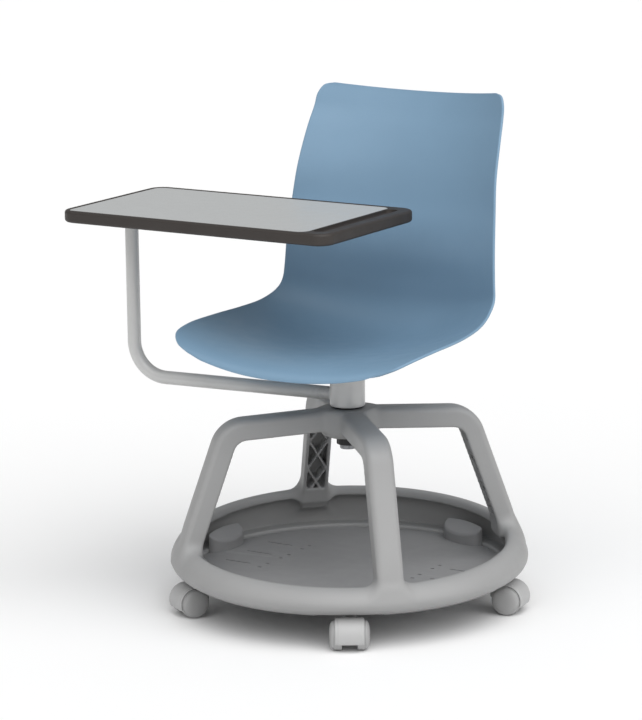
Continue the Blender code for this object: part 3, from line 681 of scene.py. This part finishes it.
CELL_CORNERS = [(i, j, k) for i in (0, 1) for j in (0, 1) for k in (0, 1)]
CELL_EDGES = [(a, b) for a in range(8) for b in range(a + 1, 8)
              if sum(abs(p - q) for p, q in zip(CELL_CORNERS[a], CELL_CORNERS[b])) == 1]


def surface_of(distance, low, high, pitch, name):
    """Quad mesh of the surface where distance is 0: one point in each cell that the surface crosses,
    drawn onto the surface itself afterwards."""
    axes = [np.arange(low[i], high[i] + pitch, pitch) for i in range(3)]
    value = np.stack([distance(*np.meshgrid(axes[0], axes[1], [height], indexing="ij"))[:, :, 0]
                      for height in axes[2]], axis=2)
    inside = value < 0
    filled = sum(inside[i:i - 1 or None, j:j - 1 or None, k:k - 1 or None].astype(np.int8)
                 for i, j, k in CELL_CORNERS)
    cells = np.argwhere((filled > 0) & (filled < 8))
    number = np.full(filled.shape, -1)
    number[tuple(cells.T)] = np.arange(len(cells))

    corner_value = np.stack([value[tuple((cells + corner).T)] for corner in CELL_CORNERS], axis=1)
    total = np.zeros((len(cells), 3))
    crossings = np.zeros(len(cells))
    for a, b in CELL_EDGES:
        first, second = corner_value[:, a], corner_value[:, b]
        crossed = (first < 0) != (second < 0)
        share = np.where(crossed, first / np.where(crossed, first - second, 1), 0)[:, None]
        point = np.array(CELL_CORNERS[a]) + share * (np.array(CELL_CORNERS[b]) - np.array(CELL_CORNERS[a]))
        total += np.where(crossed[:, None], point, 0)
        crossings += crossed
    points = np.array(low) + (cells + total / crossings[:, None]) * pitch

    quads = []
    for axis in range(3):
        step = np.eye(3, dtype=int)
        along, one, other = step[axis], step[(axis + 1) % 3], step[(axis + 2) % 3]
        near = inside[tuple(slice(1, -1) for _ in range(3))]
        far = inside[tuple(slice(1 + d, (-1 + d) or None) for d in along)]
        edges = np.argwhere(near != far) + 1
        around = [number[tuple((edges - offset).T)] for offset in (one + other, other, 0 * one, one)]
        quad = np.stack(around, axis=1)
        flip = inside[tuple(edges.T)]
        quads.append(np.where(flip[:, None], quad, quad[:, ::-1]))
    quads = np.concatenate(quads)
    points = draw_onto(distance, points, quads, pitch)
    mesh = bpy.data.meshes.new(name)
    mesh.from_pydata(points.tolist(), [], quads.tolist())
    return mesh


def draw_onto(distance, points, quads, pitch, rounds=3):
    """Even the points out and move them onto the surface."""
    nudge = 0.0003
    for round_number in range(rounds):
        total = np.zeros_like(points)
        count = np.zeros(len(points))
        for side in range(4):
            start, end = quads[:, side], quads[:, (side + 1) % 4]
            np.add.at(total, start, points[end])
            np.add.at(count, start, 1)
            np.add.at(total, end, points[start])
            np.add.at(count, end, 1)
        if round_number < rounds - 1:
            points = points + 0.5 * (total / count[:, None] - points)
        for _ in range(2):
            here = distance(*points.T)
            slope = np.stack([(distance(*(points + nudge * axis).T) - distance(*(points - nudge * axis).T))
                              / (2 * nudge) for axis in np.eye(3)], axis=1)
            size = np.maximum((slope ** 2).sum(axis=1), 0.1)
            move = -(here / size)[:, None] * slope
            reach = np.linalg.norm(move, axis=1, keepdims=True)
            points = points + move * np.minimum(1, 0.5 * pitch / np.maximum(reach, 1e-9))
    return points


def make_base():
    pitch = MESH_PITCH
    reach = RING_RADIUS + 2 * pitch
    body = surface_of(base_distance, (-reach, -reach, RING_BOTTOM - 2 * pitch),
                      (reach, reach, HUB_TOP + 2 * pitch), pitch, "base_frame")
    bead = []
    steps, sides = 180, 10
    for k in range(steps):
        angle = 2 * pi * k / steps
        ring = []
        for i in range(sides):
            turn = 2 * pi * i / sides
            reach = RING_RADIUS - BEAD_INSET + BEAD_RADIUS * cos(turn)
            height = RING_BOTTOM + BEAD_RADIUS + BEAD_RADIUS * sin(turn)
            ring.append((reach * cos(angle), reach * sin(angle), height))
        bead.append(ring)
    whole = joined([(body, Matrix()), (loft(bead, "bead", closed_path=True), Matrix())], "base_moulding")
    place("base_moulding", whole, "base", "base_moulding", ["base_frame"], sharp=50)


# ---- storage tray
def pod_mesh():
    """Caster pod standing on the tray: back to the ring, rounded front, top sloping up to the ring."""
    wall = RING_INNER_RADIUS - 0.0010
    half_angle = POD_WIDTH / 2 / wall
    centre_x = wall * cos(half_angle)
    rings = []
    quarter = [pi / 2 * k / 6 for k in range(7)]
    levels = [(None, 0.0)] + [(POD_EDGE * (sin(t) - 1), POD_EDGE * (1 - cos(t))) for t in quarter]
    for drop, inset in levels:
        ring = []
        for k in range(-10, 11):
            angle = half_angle * k / 10 * (1 - inset / (POD_WIDTH / 2))
            ring.append((wall * cos(angle), wall * sin(angle)))
        for k in range(1, 24):
            angle = pi * k / 24
            reach = (POD_DEPTH - inset) * sin(angle) ** 0.8
            ring.append((centre_x - reach, (POD_WIDTH / 2 - inset) * cos(angle)))
        if drop is None:
            rings.append(at_height(ring, TRAY_BOTTOM))
        else:
            front = centre_x - POD_DEPTH
            rings.append([(x, y, POD_FRONT_TOP + POD_SLOPE * (x - front) + drop) for x, y in ring])
    return loft(rings, "pod")


def make_tray():
    wall = RING_INNER_RADIUS - 0.0008
    step = wall - 0.020
    flange_top = RING_BOTTOM - GAP
    low = TRAY_TOP - TRAY_THICKNESS
    profile = rounded_outline([(0.0, low, 0), (step, low, 0.0015), (step, TRAY_BOTTOM, 0.0008),
                               (TRAY_FLANGE_RADIUS, TRAY_BOTTOM, 0.0012),
                               (TRAY_FLANGE_RADIUS, flange_top, 0.0008),
                               (wall, flange_top, 0.0002), (wall, TRAY_TOP, 0.0015), (0.0, TRAY_TOP, 0)], 4)
    tray = turned(profile, "tray", 192)
    cut_low, cut_top = low - 0.004, TRAY_TOP + 0.004
    notch_middle = wall + 0.0004 + NOTCH_DEPTH / 2
    notch = prism(rounded_rectangle(NOTCH_DEPTH, NOTCH_WIDTH, 0.003, 3, (notch_middle, 0)),
                  TRAY_BOTTOM - 0.004, RING_BOTTOM + 0.001, "notch")
    tools = [(notch, Matrix.Rotation(angle, 4, "Z")) for angle in CASTER_ANGLES]
    slot = prism(rounded_rectangle(*SLOT_SIZE, 4), cut_low, cut_top, "slot")
    drain = prism(rounded_rectangle(*DRAIN_SIZE, 4), cut_low, cut_top, "drain")
    for side in (-1, 1):
        for offset in (-SLOT_PITCH, 0.0, SLOT_PITCH):
            tools.append((slot, Matrix.Translation((side * SLOT_REACH, offset, 0))))
            for shift in (-DRAIN_OFFSET, DRAIN_OFFSET):
                tools.append((drain, Matrix.Translation((side * DRAIN_REACH, offset + shift, 0))))
    bore = cylinder(STEM_RADIUS + GAP, POD_BORE_BOTTOM, POD_BORE_TOP, "bore")
    bore_place = Matrix.Translation((STEM_CIRCLE, 0, 0))
    tools += [(bore, Matrix.Rotation(angle, 4, "Z") @ bore_place) for angle in CASTER_ANGLES]
    tray = cut(tray, joined(tools, "tray_tools"))
    pod = cut(pod_mesh(), joined([(bore, bore_place)], "pod_bore"))
    pods = [(pod, Matrix.Rotation(angle, 4, "Z")) for angle in CASTER_ANGLES]
    rib_outline = rounded_rectangle(*TRAY_RIB_SIZE, 2, (TRAY_RIB_MIDDLE, 0))
    rib = prism(rib_outline, TRAY_BOTTOM + 0.0003, low + 0.001, "rib")
    rib_turns = [2 * pi * k / TRAY_RIB_COUNT + 0.05 for k in range(TRAY_RIB_COUNT)]
    ribs = [(rib, Matrix.Rotation(turn, 4, "Z")) for turn in rib_turns]
    whole = joined([(tray, Matrix())] + pods + ribs, "storage_tray")
    place("tray", whole, "base", "tray_moulding", ["storage_tray"], weighted=True)


# ---- seat shell
def shell_point(row, across):
    y, z, half, forward, rise = row
    bend = abs(across) ** SHELL_BEND_POWER
    return Vector((half * across, y + forward * bend, z + rise * bend))


def make_shell():
    """Thin moulding: sitting face, back face and a half-round rim all the way round."""
    rows = smooth_curve(SHELL_STATIONS, 6)
    columns = 56
    even = [2 * k / columns - 1 for k in range(columns + 1)]
    spread = [sin(pi / 2 * t) * 0.5 + t * 0.5 for t in even]
    grid = np.array([[shell_point(row, t) for t in spread] for row in rows])
    down = np.gradient(grid, axis=0)
    across = np.gradient(grid, axis=1)
    normal = np.cross(across, down)
    normal /= np.linalg.norm(normal, axis=2, keepdims=True)
    high, wide = grid.shape[:2]

    border = ([(0, k) for k in range(wide)] + [(i, wide - 1) for i in range(1, high)]
              + [(high - 1, k) for k in range(wide - 2, -1, -1)] + [(i, 0) for i in range(high - 2, 0, -1)])
    half = SHELL_THICKNESS / 2
    edge = np.array([grid[spot] for spot in border])
    tangent = np.roll(edge, -1, axis=0) - np.roll(edge, 1, axis=0)
    edge_normal = np.array([normal[spot] for spot in border])
    outward = np.cross(tangent, edge_normal)
    outward /= np.linalg.norm(outward, axis=1, keepdims=True)
    centre = edge.mean(axis=0)
    if ((edge - centre) * outward).sum() < 0:
        outward = -outward
    shifted = grid.copy()
    for spot, out in zip(border, outward):
        shifted[spot] = grid[spot] - out * half

    front = shifted.reshape(-1, 3)
    back = (shifted - normal * SHELL_THICKNESS).reshape(-1, 3)
    vertices = [tuple(p) for p in front] + [tuple(p) for p in back]
    offset = len(front)
    faces = []
    for i in range(high - 1):
        for k in range(wide - 1):
            here = i * wide + k
            quad = (here, here + 1, here + wide + 1, here + wide)
            faces.append(quad)
            faces.append(tuple(offset + q for q in reversed(quad)))
    arc = 5
    loops = [[i * wide + k for i, k in border]]
    for step in range(1, arc):
        turn = pi * step / arc
        loop = []
        for (i, k), out, up in zip(border, outward, edge_normal):
            base = shifted[i, k] - up * half
            loop.append(len(vertices))
            vertices.append(tuple(base + up * half * cos(turn) + out * half * sin(turn)))
        loops.append(loop)
    loops.append([offset + i * wide + k for i, k in border])
    for upper, lower in zip(loops, loops[1:]):
        for k in range(len(border)):
            following = (k + 1) % len(border)
            faces.append((upper[k], upper[following], lower[following], lower[k]))
    shell = mesh_from(vertices, faces, "shell")

    plate_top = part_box("seat_plate")[1].z + GAP
    extras = []
    for side, top in ((-1, BOSS_TOP_FRONT), (1, BOSS_TOP_REAR)):
        profile = rounded_outline([(BOSS_BORE, plate_top, 0), (BOSS_RADIUS_LOW, plate_top, 0.0008),
                                   (BOSS_RADIUS_TOP, top, 0), (BOSS_BORE, top, 0)], 3)
        boss = turned(profile, "boss", 32)
        for x in (-1, 1):
            centre = (x * SEAT_SCREW_PITCH / 2, side * SEAT_SCREW_PITCH / 2, 0)
            extras.append((boss, Matrix.Translation(centre)))
    shell = cut(shell, joined(extras, "bosses"), "UNION")
    place("shell", shell, "seat", "shell_plastic", ["seat_shell"], sharp=40)


# ---- arm
def arm_frames(start, end_height, bend_steps=24):
    """Middle line of the tube as (point, up) in the arm's own plane."""
    span = hypot(POST_X, POST_Y)
    places = [(start + (span - ARM_BEND_RADIUS - start) * k / 6, ARM_HEIGHT, 0.0) for k in range(6)]
    for k in range(bend_steps + 1):
        turn = pi / 2 * k / bend_steps
        places.append((span - ARM_BEND_RADIUS * (1 - sin(turn)),
                       ARM_HEIGHT + ARM_BEND_RADIUS * (1 - cos(turn)), turn))
    rise = places[-1][1]
    places += [(span, rise + (end_height - rise) * k / 5, pi / 2) for k in range(1, 6)]
    return places


def tube_mesh(segments=40):
    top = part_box("arm_tube")[1].z
    places = arm_frames(COLLAR_RADIUS - 0.0005, top)
    rings = []
    skins = [(TUBE_RADIUS, p) for p in places]
    skins[-1] = (TUBE_RADIUS, (places[-1][0], top - 0.0008, pi / 2))
    skins.append((TUBE_RADIUS - 0.0008, places[-1]))
    skins += [(TUBE_BORE_RADIUS, p) for p in reversed(places)]
    for radius, (reach, height, turn) in skins:
        up = Vector((-sin(turn), 0.0, cos(turn)))
        ring = []
        for k in range(segments):
            angle = 2 * pi * k / segments
            sideways = Vector((0, radius * sin(angle), 0))
            point = Vector((reach, 0, height)) + up * radius * cos(angle) + sideways
            near = point.x < COLLAR_RADIUS + TUBE_RADIUS and turn == 0.0 and reach < COLLAR_RADIUS
            if near:
                point.x = sqrt(COLLAR_RADIUS ** 2 - min(point.y ** 2, COLLAR_RADIUS ** 2))
            ring.append(point)
        rings.append(ring)
    return loft(rings, "tube", closed_path=True)


def weld_mesh(segments=60):
    """Fillet weld along the line where the tube meets the collar."""
    rings = []
    for k in range(segments):
        angle = 2 * pi * k / segments
        size = WELD_SIZE * (1 + WELD_RIPPLE * sin(angle * WELD_RIPPLES))
        ring = []
        for i in range(8):
            turn = 2 * pi * i / 8
            radius = TUBE_RADIUS + size * cos(turn)
            side, lift = radius * sin(angle), radius * cos(angle)
            saddle = sqrt(COLLAR_RADIUS ** 2 - side ** 2)
            ring.append((saddle + size * sin(turn), side, ARM_HEIGHT + lift))
        rings.append(ring)
    return loft(rings, "weld", closed_path=True)


def make_arm():
    heading = Matrix.Rotation(atan2(POST_Y, POST_X), 4, "Z")
    parts = joined([(tube_mesh(), heading), (weld_mesh(), heading)], "arm")
    place("arm", parts, "arm", "tube_paint", ["arm_tube"])
    low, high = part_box("arm_collar")
    bore = SPINDLE_RADIUS + COLLAR_CLEARANCE
    profile = rounded_outline([(bore, low.z, 0), (COLLAR_RADIUS, low.z, COLLAR_EDGE),
                               (COLLAR_RADIUS, high.z, COLLAR_EDGE), (bore, high.z, 0)], 6)
    place("collar", turned(profile, "collar", 96), "arm", "tube_paint", ["arm_collar"],
          weighted=True)


# ---- tablet
def tablet_loop(inset, height, steps=12):
    length = TABLET_HIGH.x - TABLET_LOW.x - 2 * inset
    width = TABLET_HIGH.y - TABLET_LOW.y - 2 * inset
    centre = ((TABLET_HIGH.x + TABLET_LOW.x) / 2, (TABLET_HIGH.y + TABLET_LOW.y) / 2)
    outline = rounded_rectangle(length, width, max(TABLET_CORNER - inset, 0.004), steps, centre)
    return [(x, y, height) for x, y in outline]


def make_tablet():
    low, top = TABLET_LOW.z, TABLET_HIGH.z
    edge = TABLET_EDGE
    quarter = [pi / 2 * k / 6 for k in range(7)]
    rings = [tablet_loop(edge * (1 - sin(t)), low + edge * (1 - cos(t))) for t in quarter]
    rings += [tablet_loop(edge * (1 - cos(t)), top - edge * (1 - sin(t))) for t in quarter]
    rim = loft(rings, "rim")
    panel_size = (PANEL_HIGH.x - PANEL_LOW.x + 2 * GAP, PANEL_HIGH.y - PANEL_LOW.y + 2 * GAP)
    panel_centre = ((PANEL_HIGH.x + PANEL_LOW.x) / 2, (PANEL_HIGH.y + PANEL_LOW.y) / 2)
    lip = 0.0012
    recess = loft([[(x, y, z) for x, y in rounded_rectangle(panel_size[0] + 2 * out, panel_size[1] + 2 * out,
                                                            0.018 + out, 8, panel_centre)]
                   for out, z in ((0, PANEL_LOW.z - GAP), (0, PANEL_HIGH.z), (lip * 0.3, top - lip * 0.3),
                                  (lip, top), (lip, top + 0.01))], "recess")
    rim = cut(rim, recess)
    trough_centre = (PANEL_HIGH.x + 0.003 + TROUGH_WIDTH / 2 + GAP, (TABLET_HIGH.y + TABLET_LOW.y) / 2)
    rings = []
    floor = top - TROUGH_DEPTH
    for out, z in ((-0.003, floor), (-0.0009, floor + 0.0009), (0, floor + 0.003), (0, top - 0.0018),
                   (0.0005, top - 0.0006), (0.0018, top), (0.0018, top + 0.01)):
        outline = rounded_rectangle(TROUGH_WIDTH + 2 * out, TROUGH_LENGTH + 2 * out, 0.010 + out, 8,
                                    trough_centre)
        rings.append(at_height(outline, z))
    rim = cut(rim, loft(rings, "trough"))
    hollow = loft([tablet_loop(HOLLOW_INSET, low - 0.01), tablet_loop(HOLLOW_INSET, HOLLOW_TOP)], "hollow")
    rim = cut(rim, hollow)
    ribs = []
    size_y = TABLET_HIGH.y - TABLET_LOW.y - 0.030
    centre_y = (TABLET_HIGH.y + TABLET_LOW.y) / 2
    bracket_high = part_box("tablet_bracket")[1]
    for x in np.linspace(bracket_high.x + 0.020, TABLET_HIGH.x - 0.040, 6):
        ribs.append((x, centre_y, TABLET_RIB, size_y))
    for side in (-TABLET_RIB_PITCH, 0.0, TABLET_RIB_PITCH):
        start = bracket_high.x + 0.020 if side == 0 else TABLET_LOW.x + HOLLOW_INSET
        end = TABLET_HIGH.x - HOLLOW_INSET
        ribs.append(((start + end) / 2, centre_y + side, end - start, TABLET_RIB))
    meshes = [(rim, Matrix())]
    for x, y, length, width in ribs:
        box = prism(rounded_rectangle(length, width, 0.0007, 1, (x, y)),
                    low + 0.0035, HOLLOW_TOP + 0.0008, "tablet_rib")
        meshes.append((box, Matrix()))
    place("tablet_frame", joined(meshes, "tablet_frame"), "tablet", "tablet_edge",
          ["tablet_rim"], matrix=Matrix(), weighted=True)

    bevel = 0.0005
    rings = []
    for inset, z in ((bevel, PANEL_LOW.z), (0, PANEL_LOW.z + bevel), (0, PANEL_HIGH.z - bevel),
                     (bevel * 0.3, PANEL_HIGH.z - bevel * 0.3), (bevel, PANEL_HIGH.z)):
        rings.append([(x, y, z) for x, y in rounded_rectangle(panel_size[0] - 2 * GAP - 2 * inset,
                                                              panel_size[1] - 2 * GAP - 2 * inset,
                                                              0.0177 - inset, 8, panel_centre)])
    place("writing_panel", loft(rings, "panel"), "tablet", "tablet_surface",
          ["tablet_panel"], matrix=Matrix(), weighted=True)


# ---- casters
def hood_mesh():
    """Cover over both wheels: raised middle band, lower side bands, edges rolled in."""
    half = HOOD_WIDTH / 2
    inner = HOOD_RADIUS - 0.0028
    section = rounded_outline([(-half, inner, 0.0004), (-half, HOOD_RADIUS - 0.0008, 0.0016),
                               (-0.0205, HOOD_RADIUS - 0.0008, 0), (-0.0195, HOOD_RADIUS, 0.0006),
                               (0.0195, HOOD_RADIUS, 0.0006), (0.0205, HOOD_RADIUS - 0.0008, 0),
                               (half, HOOD_RADIUS - 0.0008, 0.0016), (half, inner, 0.0004)], 4)
    rings = []
    steps = 40
    first, last = radians(-22), radians(150)
    for k in range(steps + 1):
        turn = first + (last - first) * k / steps
        end = min(k, steps - k)
        shrink = 0.0007 if end == 0 else 0.0
        ring = []
        for y, r in section:
            reach = max(r - shrink, inner)
            ring.append((reach * cos(turn), y * (1 - shrink * 20), reach * sin(turn)))
        rings.append(ring)
    return loft(rings, "hood")


def fork_mesh():
    """Body between the wheels, rounded over at its edges."""
    half = WHEEL_GAP / 2 - 0.0010
    rings = []
    outline = [(HOOD_RADIUS - 0.0009, radians(a)) for a in np.linspace(-22, 205, 48)]
    for side, inset in ((-half, 0.0012), (-half + 0.0012, 0), (half - 0.0012, 0), (half, 0.0012)):
        ring = [((r - inset) * cos(a), side, (r - inset) * sin(a)) for r, a in outline]
        ring.append((0.002, side, -0.0075 + inset))
        rings.append(ring)
    return loft(rings, "fork")


def wheel_mesh():
    """Wheel with a flat tread, a fine groove and a domed side, its axis along Z."""
    tread = WHEEL_WIDTH * 0.60
    profile = [(AXLE_RADIUS - 0.0006, 0.0006), (WHEEL_RADIUS - 0.0055, 0.0006), (WHEEL_RADIUS - 0.0050, 0.0),
               (WHEEL_RADIUS - 0.0012, 0.0)]
    profile += [(WHEEL_RADIUS - 0.0012 + 0.0012 * sin(t), 0.0012 * (1 - cos(t)))
                for t in (pi / 2 * k / 5 for k in range(1, 6))]
    profile += [(WHEEL_RADIUS, tread - 0.0010), (WHEEL_RADIUS - 0.0006, tread),
                (WHEEL_RADIUS - 0.0014, tread + 0.0002), (WHEEL_RADIUS - 0.0014, tread + 0.0009)]
    dome = WHEEL_WIDTH - tread - 0.0009
    for k in range(1, 15):
        turn = pi / 2 * k / 14
        profile.append(((WHEEL_RADIUS - 0.0010) * cos(turn) ** 0.55 if k < 14 else 0.0,
                        tread + 0.0009 + dome * sin(turn) ** 1.15))
    profile.append((0.0, 0.0006))
    return turned(profile, "wheel", 56)


def make_caster(number, stem, heading, shared):
    name = f"caster_{number}"
    swivel = Matrix.Translation((stem.x, stem.y, 0)) @ Matrix.Rotation(heading, 4, "Z")
    axle_line = Matrix.Translation((CASTER_TRAIL, 0, WHEEL_RADIUS))
    place(f"{name}_hood", shared["housing"].copy(), name, "caster_moulding",
          [f"{name}_housing"], matrix=swivel)
    for side, turn in (("left", -pi / 2), ("right", pi / 2)):
        offset = WHEEL_GAP / 2 if side == "left" else -WHEEL_GAP / 2
        at = swivel @ axle_line @ Matrix.Translation((0, offset, 0)) @ Matrix.Rotation(turn, 4, "X")
        place(f"{name}_tyre_{side}", shared["wheel"].copy(), f"{name}_wheels", "wheel_polymer",
              [f"{name}_wheel_{side}"], matrix=at)


def make_casters():
    axle_line = Matrix.Translation((CASTER_TRAIL, 0, WHEEL_RADIUS))
    neck = turned(rounded_outline([(0.0, NECK_BOTTOM, 0), (NECK_RADIUS, NECK_BOTTOM, 0.0008),
                                   (NECK_RADIUS, NECK_TOP, 0.0015), (0.0, NECK_TOP, 0)], 4), "neck", 40)
    fork = joined([(fork_mesh(), axle_line)], "fork")
    housing = cut(fork, joined([(hood_mesh(), axle_line)], "hood"), "UNION")
    housing = cut(housing, neck, "UNION")
    stem_bore = cylinder(STEM_RADIUS + STEM_CLEARANCE, STEM_BORE_BOTTOM, STEM_BORE_TOP, "stem_bore")
    axle_bore = cylinder(AXLE_RADIUS + GAP, -0.03, 0.03, "axle_bore")
    axle_bore.transform(axle_line @ Matrix.Rotation(pi / 2, 4, "X"))
    housing = cut(cut(housing, stem_bore), axle_bore)
    shared = {"housing": housing, "wheel": wheel_mesh()}
    for number, (stem, heading) in enumerate(zip(CASTER_PLACES, CASTER_HEADINGS), start=1):
        make_caster(number, stem, heading, shared)


# ---- the CAD nodes that stay
def make_nut():
    """Ribbed lock nut under the hub."""
    low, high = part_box("spindle_nut")
    outer = (high.x - low.x) / 2
    rings = []
    for inset, z in ((0.0015, low.z), (0.0004, low.z + 0.0006), (0, low.z + 0.0018), (0, high.z - 0.0012),
                     (0.0008, high.z)):
        ring = []
        for k in range(144):
            angle = 2 * pi * k / 144
            flute = 0.0011 * (0.5 + 0.5 * cos(12 * angle)) ** 3
            ring.append(((outer - inset - flute) * cos(angle), (outer - inset - flute) * sin(angle), z))
        rings.append(ring)
    nut = loft(rings, "nut")
    bore = cylinder(SPINDLE_RADIUS + GAP, low.z - 0.01, high.z + 0.01, "nut_bore", 48)
    place("lock_nut", cut(nut, bore), "base", "black_polymer", ["spindle_nut"])


def finish_cad_nodes():
    """Every CAD node that still shows takes the finish of its own slot."""
    for row in frame["record"]["subparts"]:
        node = frame["nodes"][row["node"]]
        if node.hide_render:
            continue
        node.data.materials.clear()
        node.data.materials.append(finishes[row["material_slot"]])


# ---- floor, light and camera
def make_stage():
    mesh = bpy.data.meshes.new("floor")
    corners = [(x * FLOOR_REACH, y * FLOOR_REACH, 0) for x, y in ((-1, -1), (1, -1), (1, 1), (-1, 1))]
    mesh.from_pydata(corners, [], [(0, 1, 2, 3)])
    floor = bpy.data.objects.new("floor", mesh)
    bpy.context.scene.collection.objects.link(floor)
    paper = bpy.data.materials.new("floor_paper")
    paper.use_nodes = True
    inputs = paper.node_tree.nodes["Principled BSDF"].inputs
    inputs["Base Color"].default_value = (FLOOR_GREY, FLOOR_GREY, FLOOR_GREY, 1)
    inputs["Roughness"].default_value = 0.9
    inputs["Specular IOR Level"].default_value = 0.1
    mesh.materials.append(paper)


def soft_light(name, direction, strength):
    """Broad, even light that travels in the given direction."""
    sun = bpy.data.lights.new(name, "SUN")
    sun.energy = strength
    sun.angle = SUN_SPREAD
    lamp = bpy.data.objects.new(name, sun)
    bpy.context.scene.collection.objects.link(lamp)
    lamp.rotation_euler = Vector(direction).to_track_quat("-Z", "Y").to_euler()


def make_light():
    world = bpy.data.worlds.new("studio")
    bpy.context.scene.world = world
    world.use_nodes = True
    background = world.node_tree.nodes["Background"]
    background.inputs["Color"].default_value = (1.0, 1.0, 1.0, 1)
    background.inputs["Strength"].default_value = 0.38
    soft_light("side_light", (-0.80, 0.20, -1.0), 1.75)
    soft_light("front_light", (-0.15, 0.75, -1.0), 1.15)
    bpy.context.scene.view_settings.view_transform = "Standard"


def make_camera():
    forward = Vector(CAMERA_FORWARD).normalized()
    upward = Vector(CAMERA_UP)
    right = forward.cross(upward).normalized()
    upward = right.cross(forward)
    data = bpy.data.cameras.new("camera")
    data.lens = CAMERA_LENS
    data.sensor_width = 36.0
    data.clip_end = 60.0
    camera = bpy.data.objects.new("camera", data)
    bpy.context.scene.collection.objects.link(camera)
    matrix = Matrix((right, upward, -forward)).transposed().to_4x4()
    matrix.translation = Vector(CAMERA_POSITION)
    camera.matrix_world = matrix
    bpy.context.scene.camera = camera


finishes = make_finishes()
make_base()
make_tray()
make_shell()
make_arm()
make_tablet()
make_casters()
make_nut()
finish_cad_nodes()
make_stage()
make_light()
make_camera()
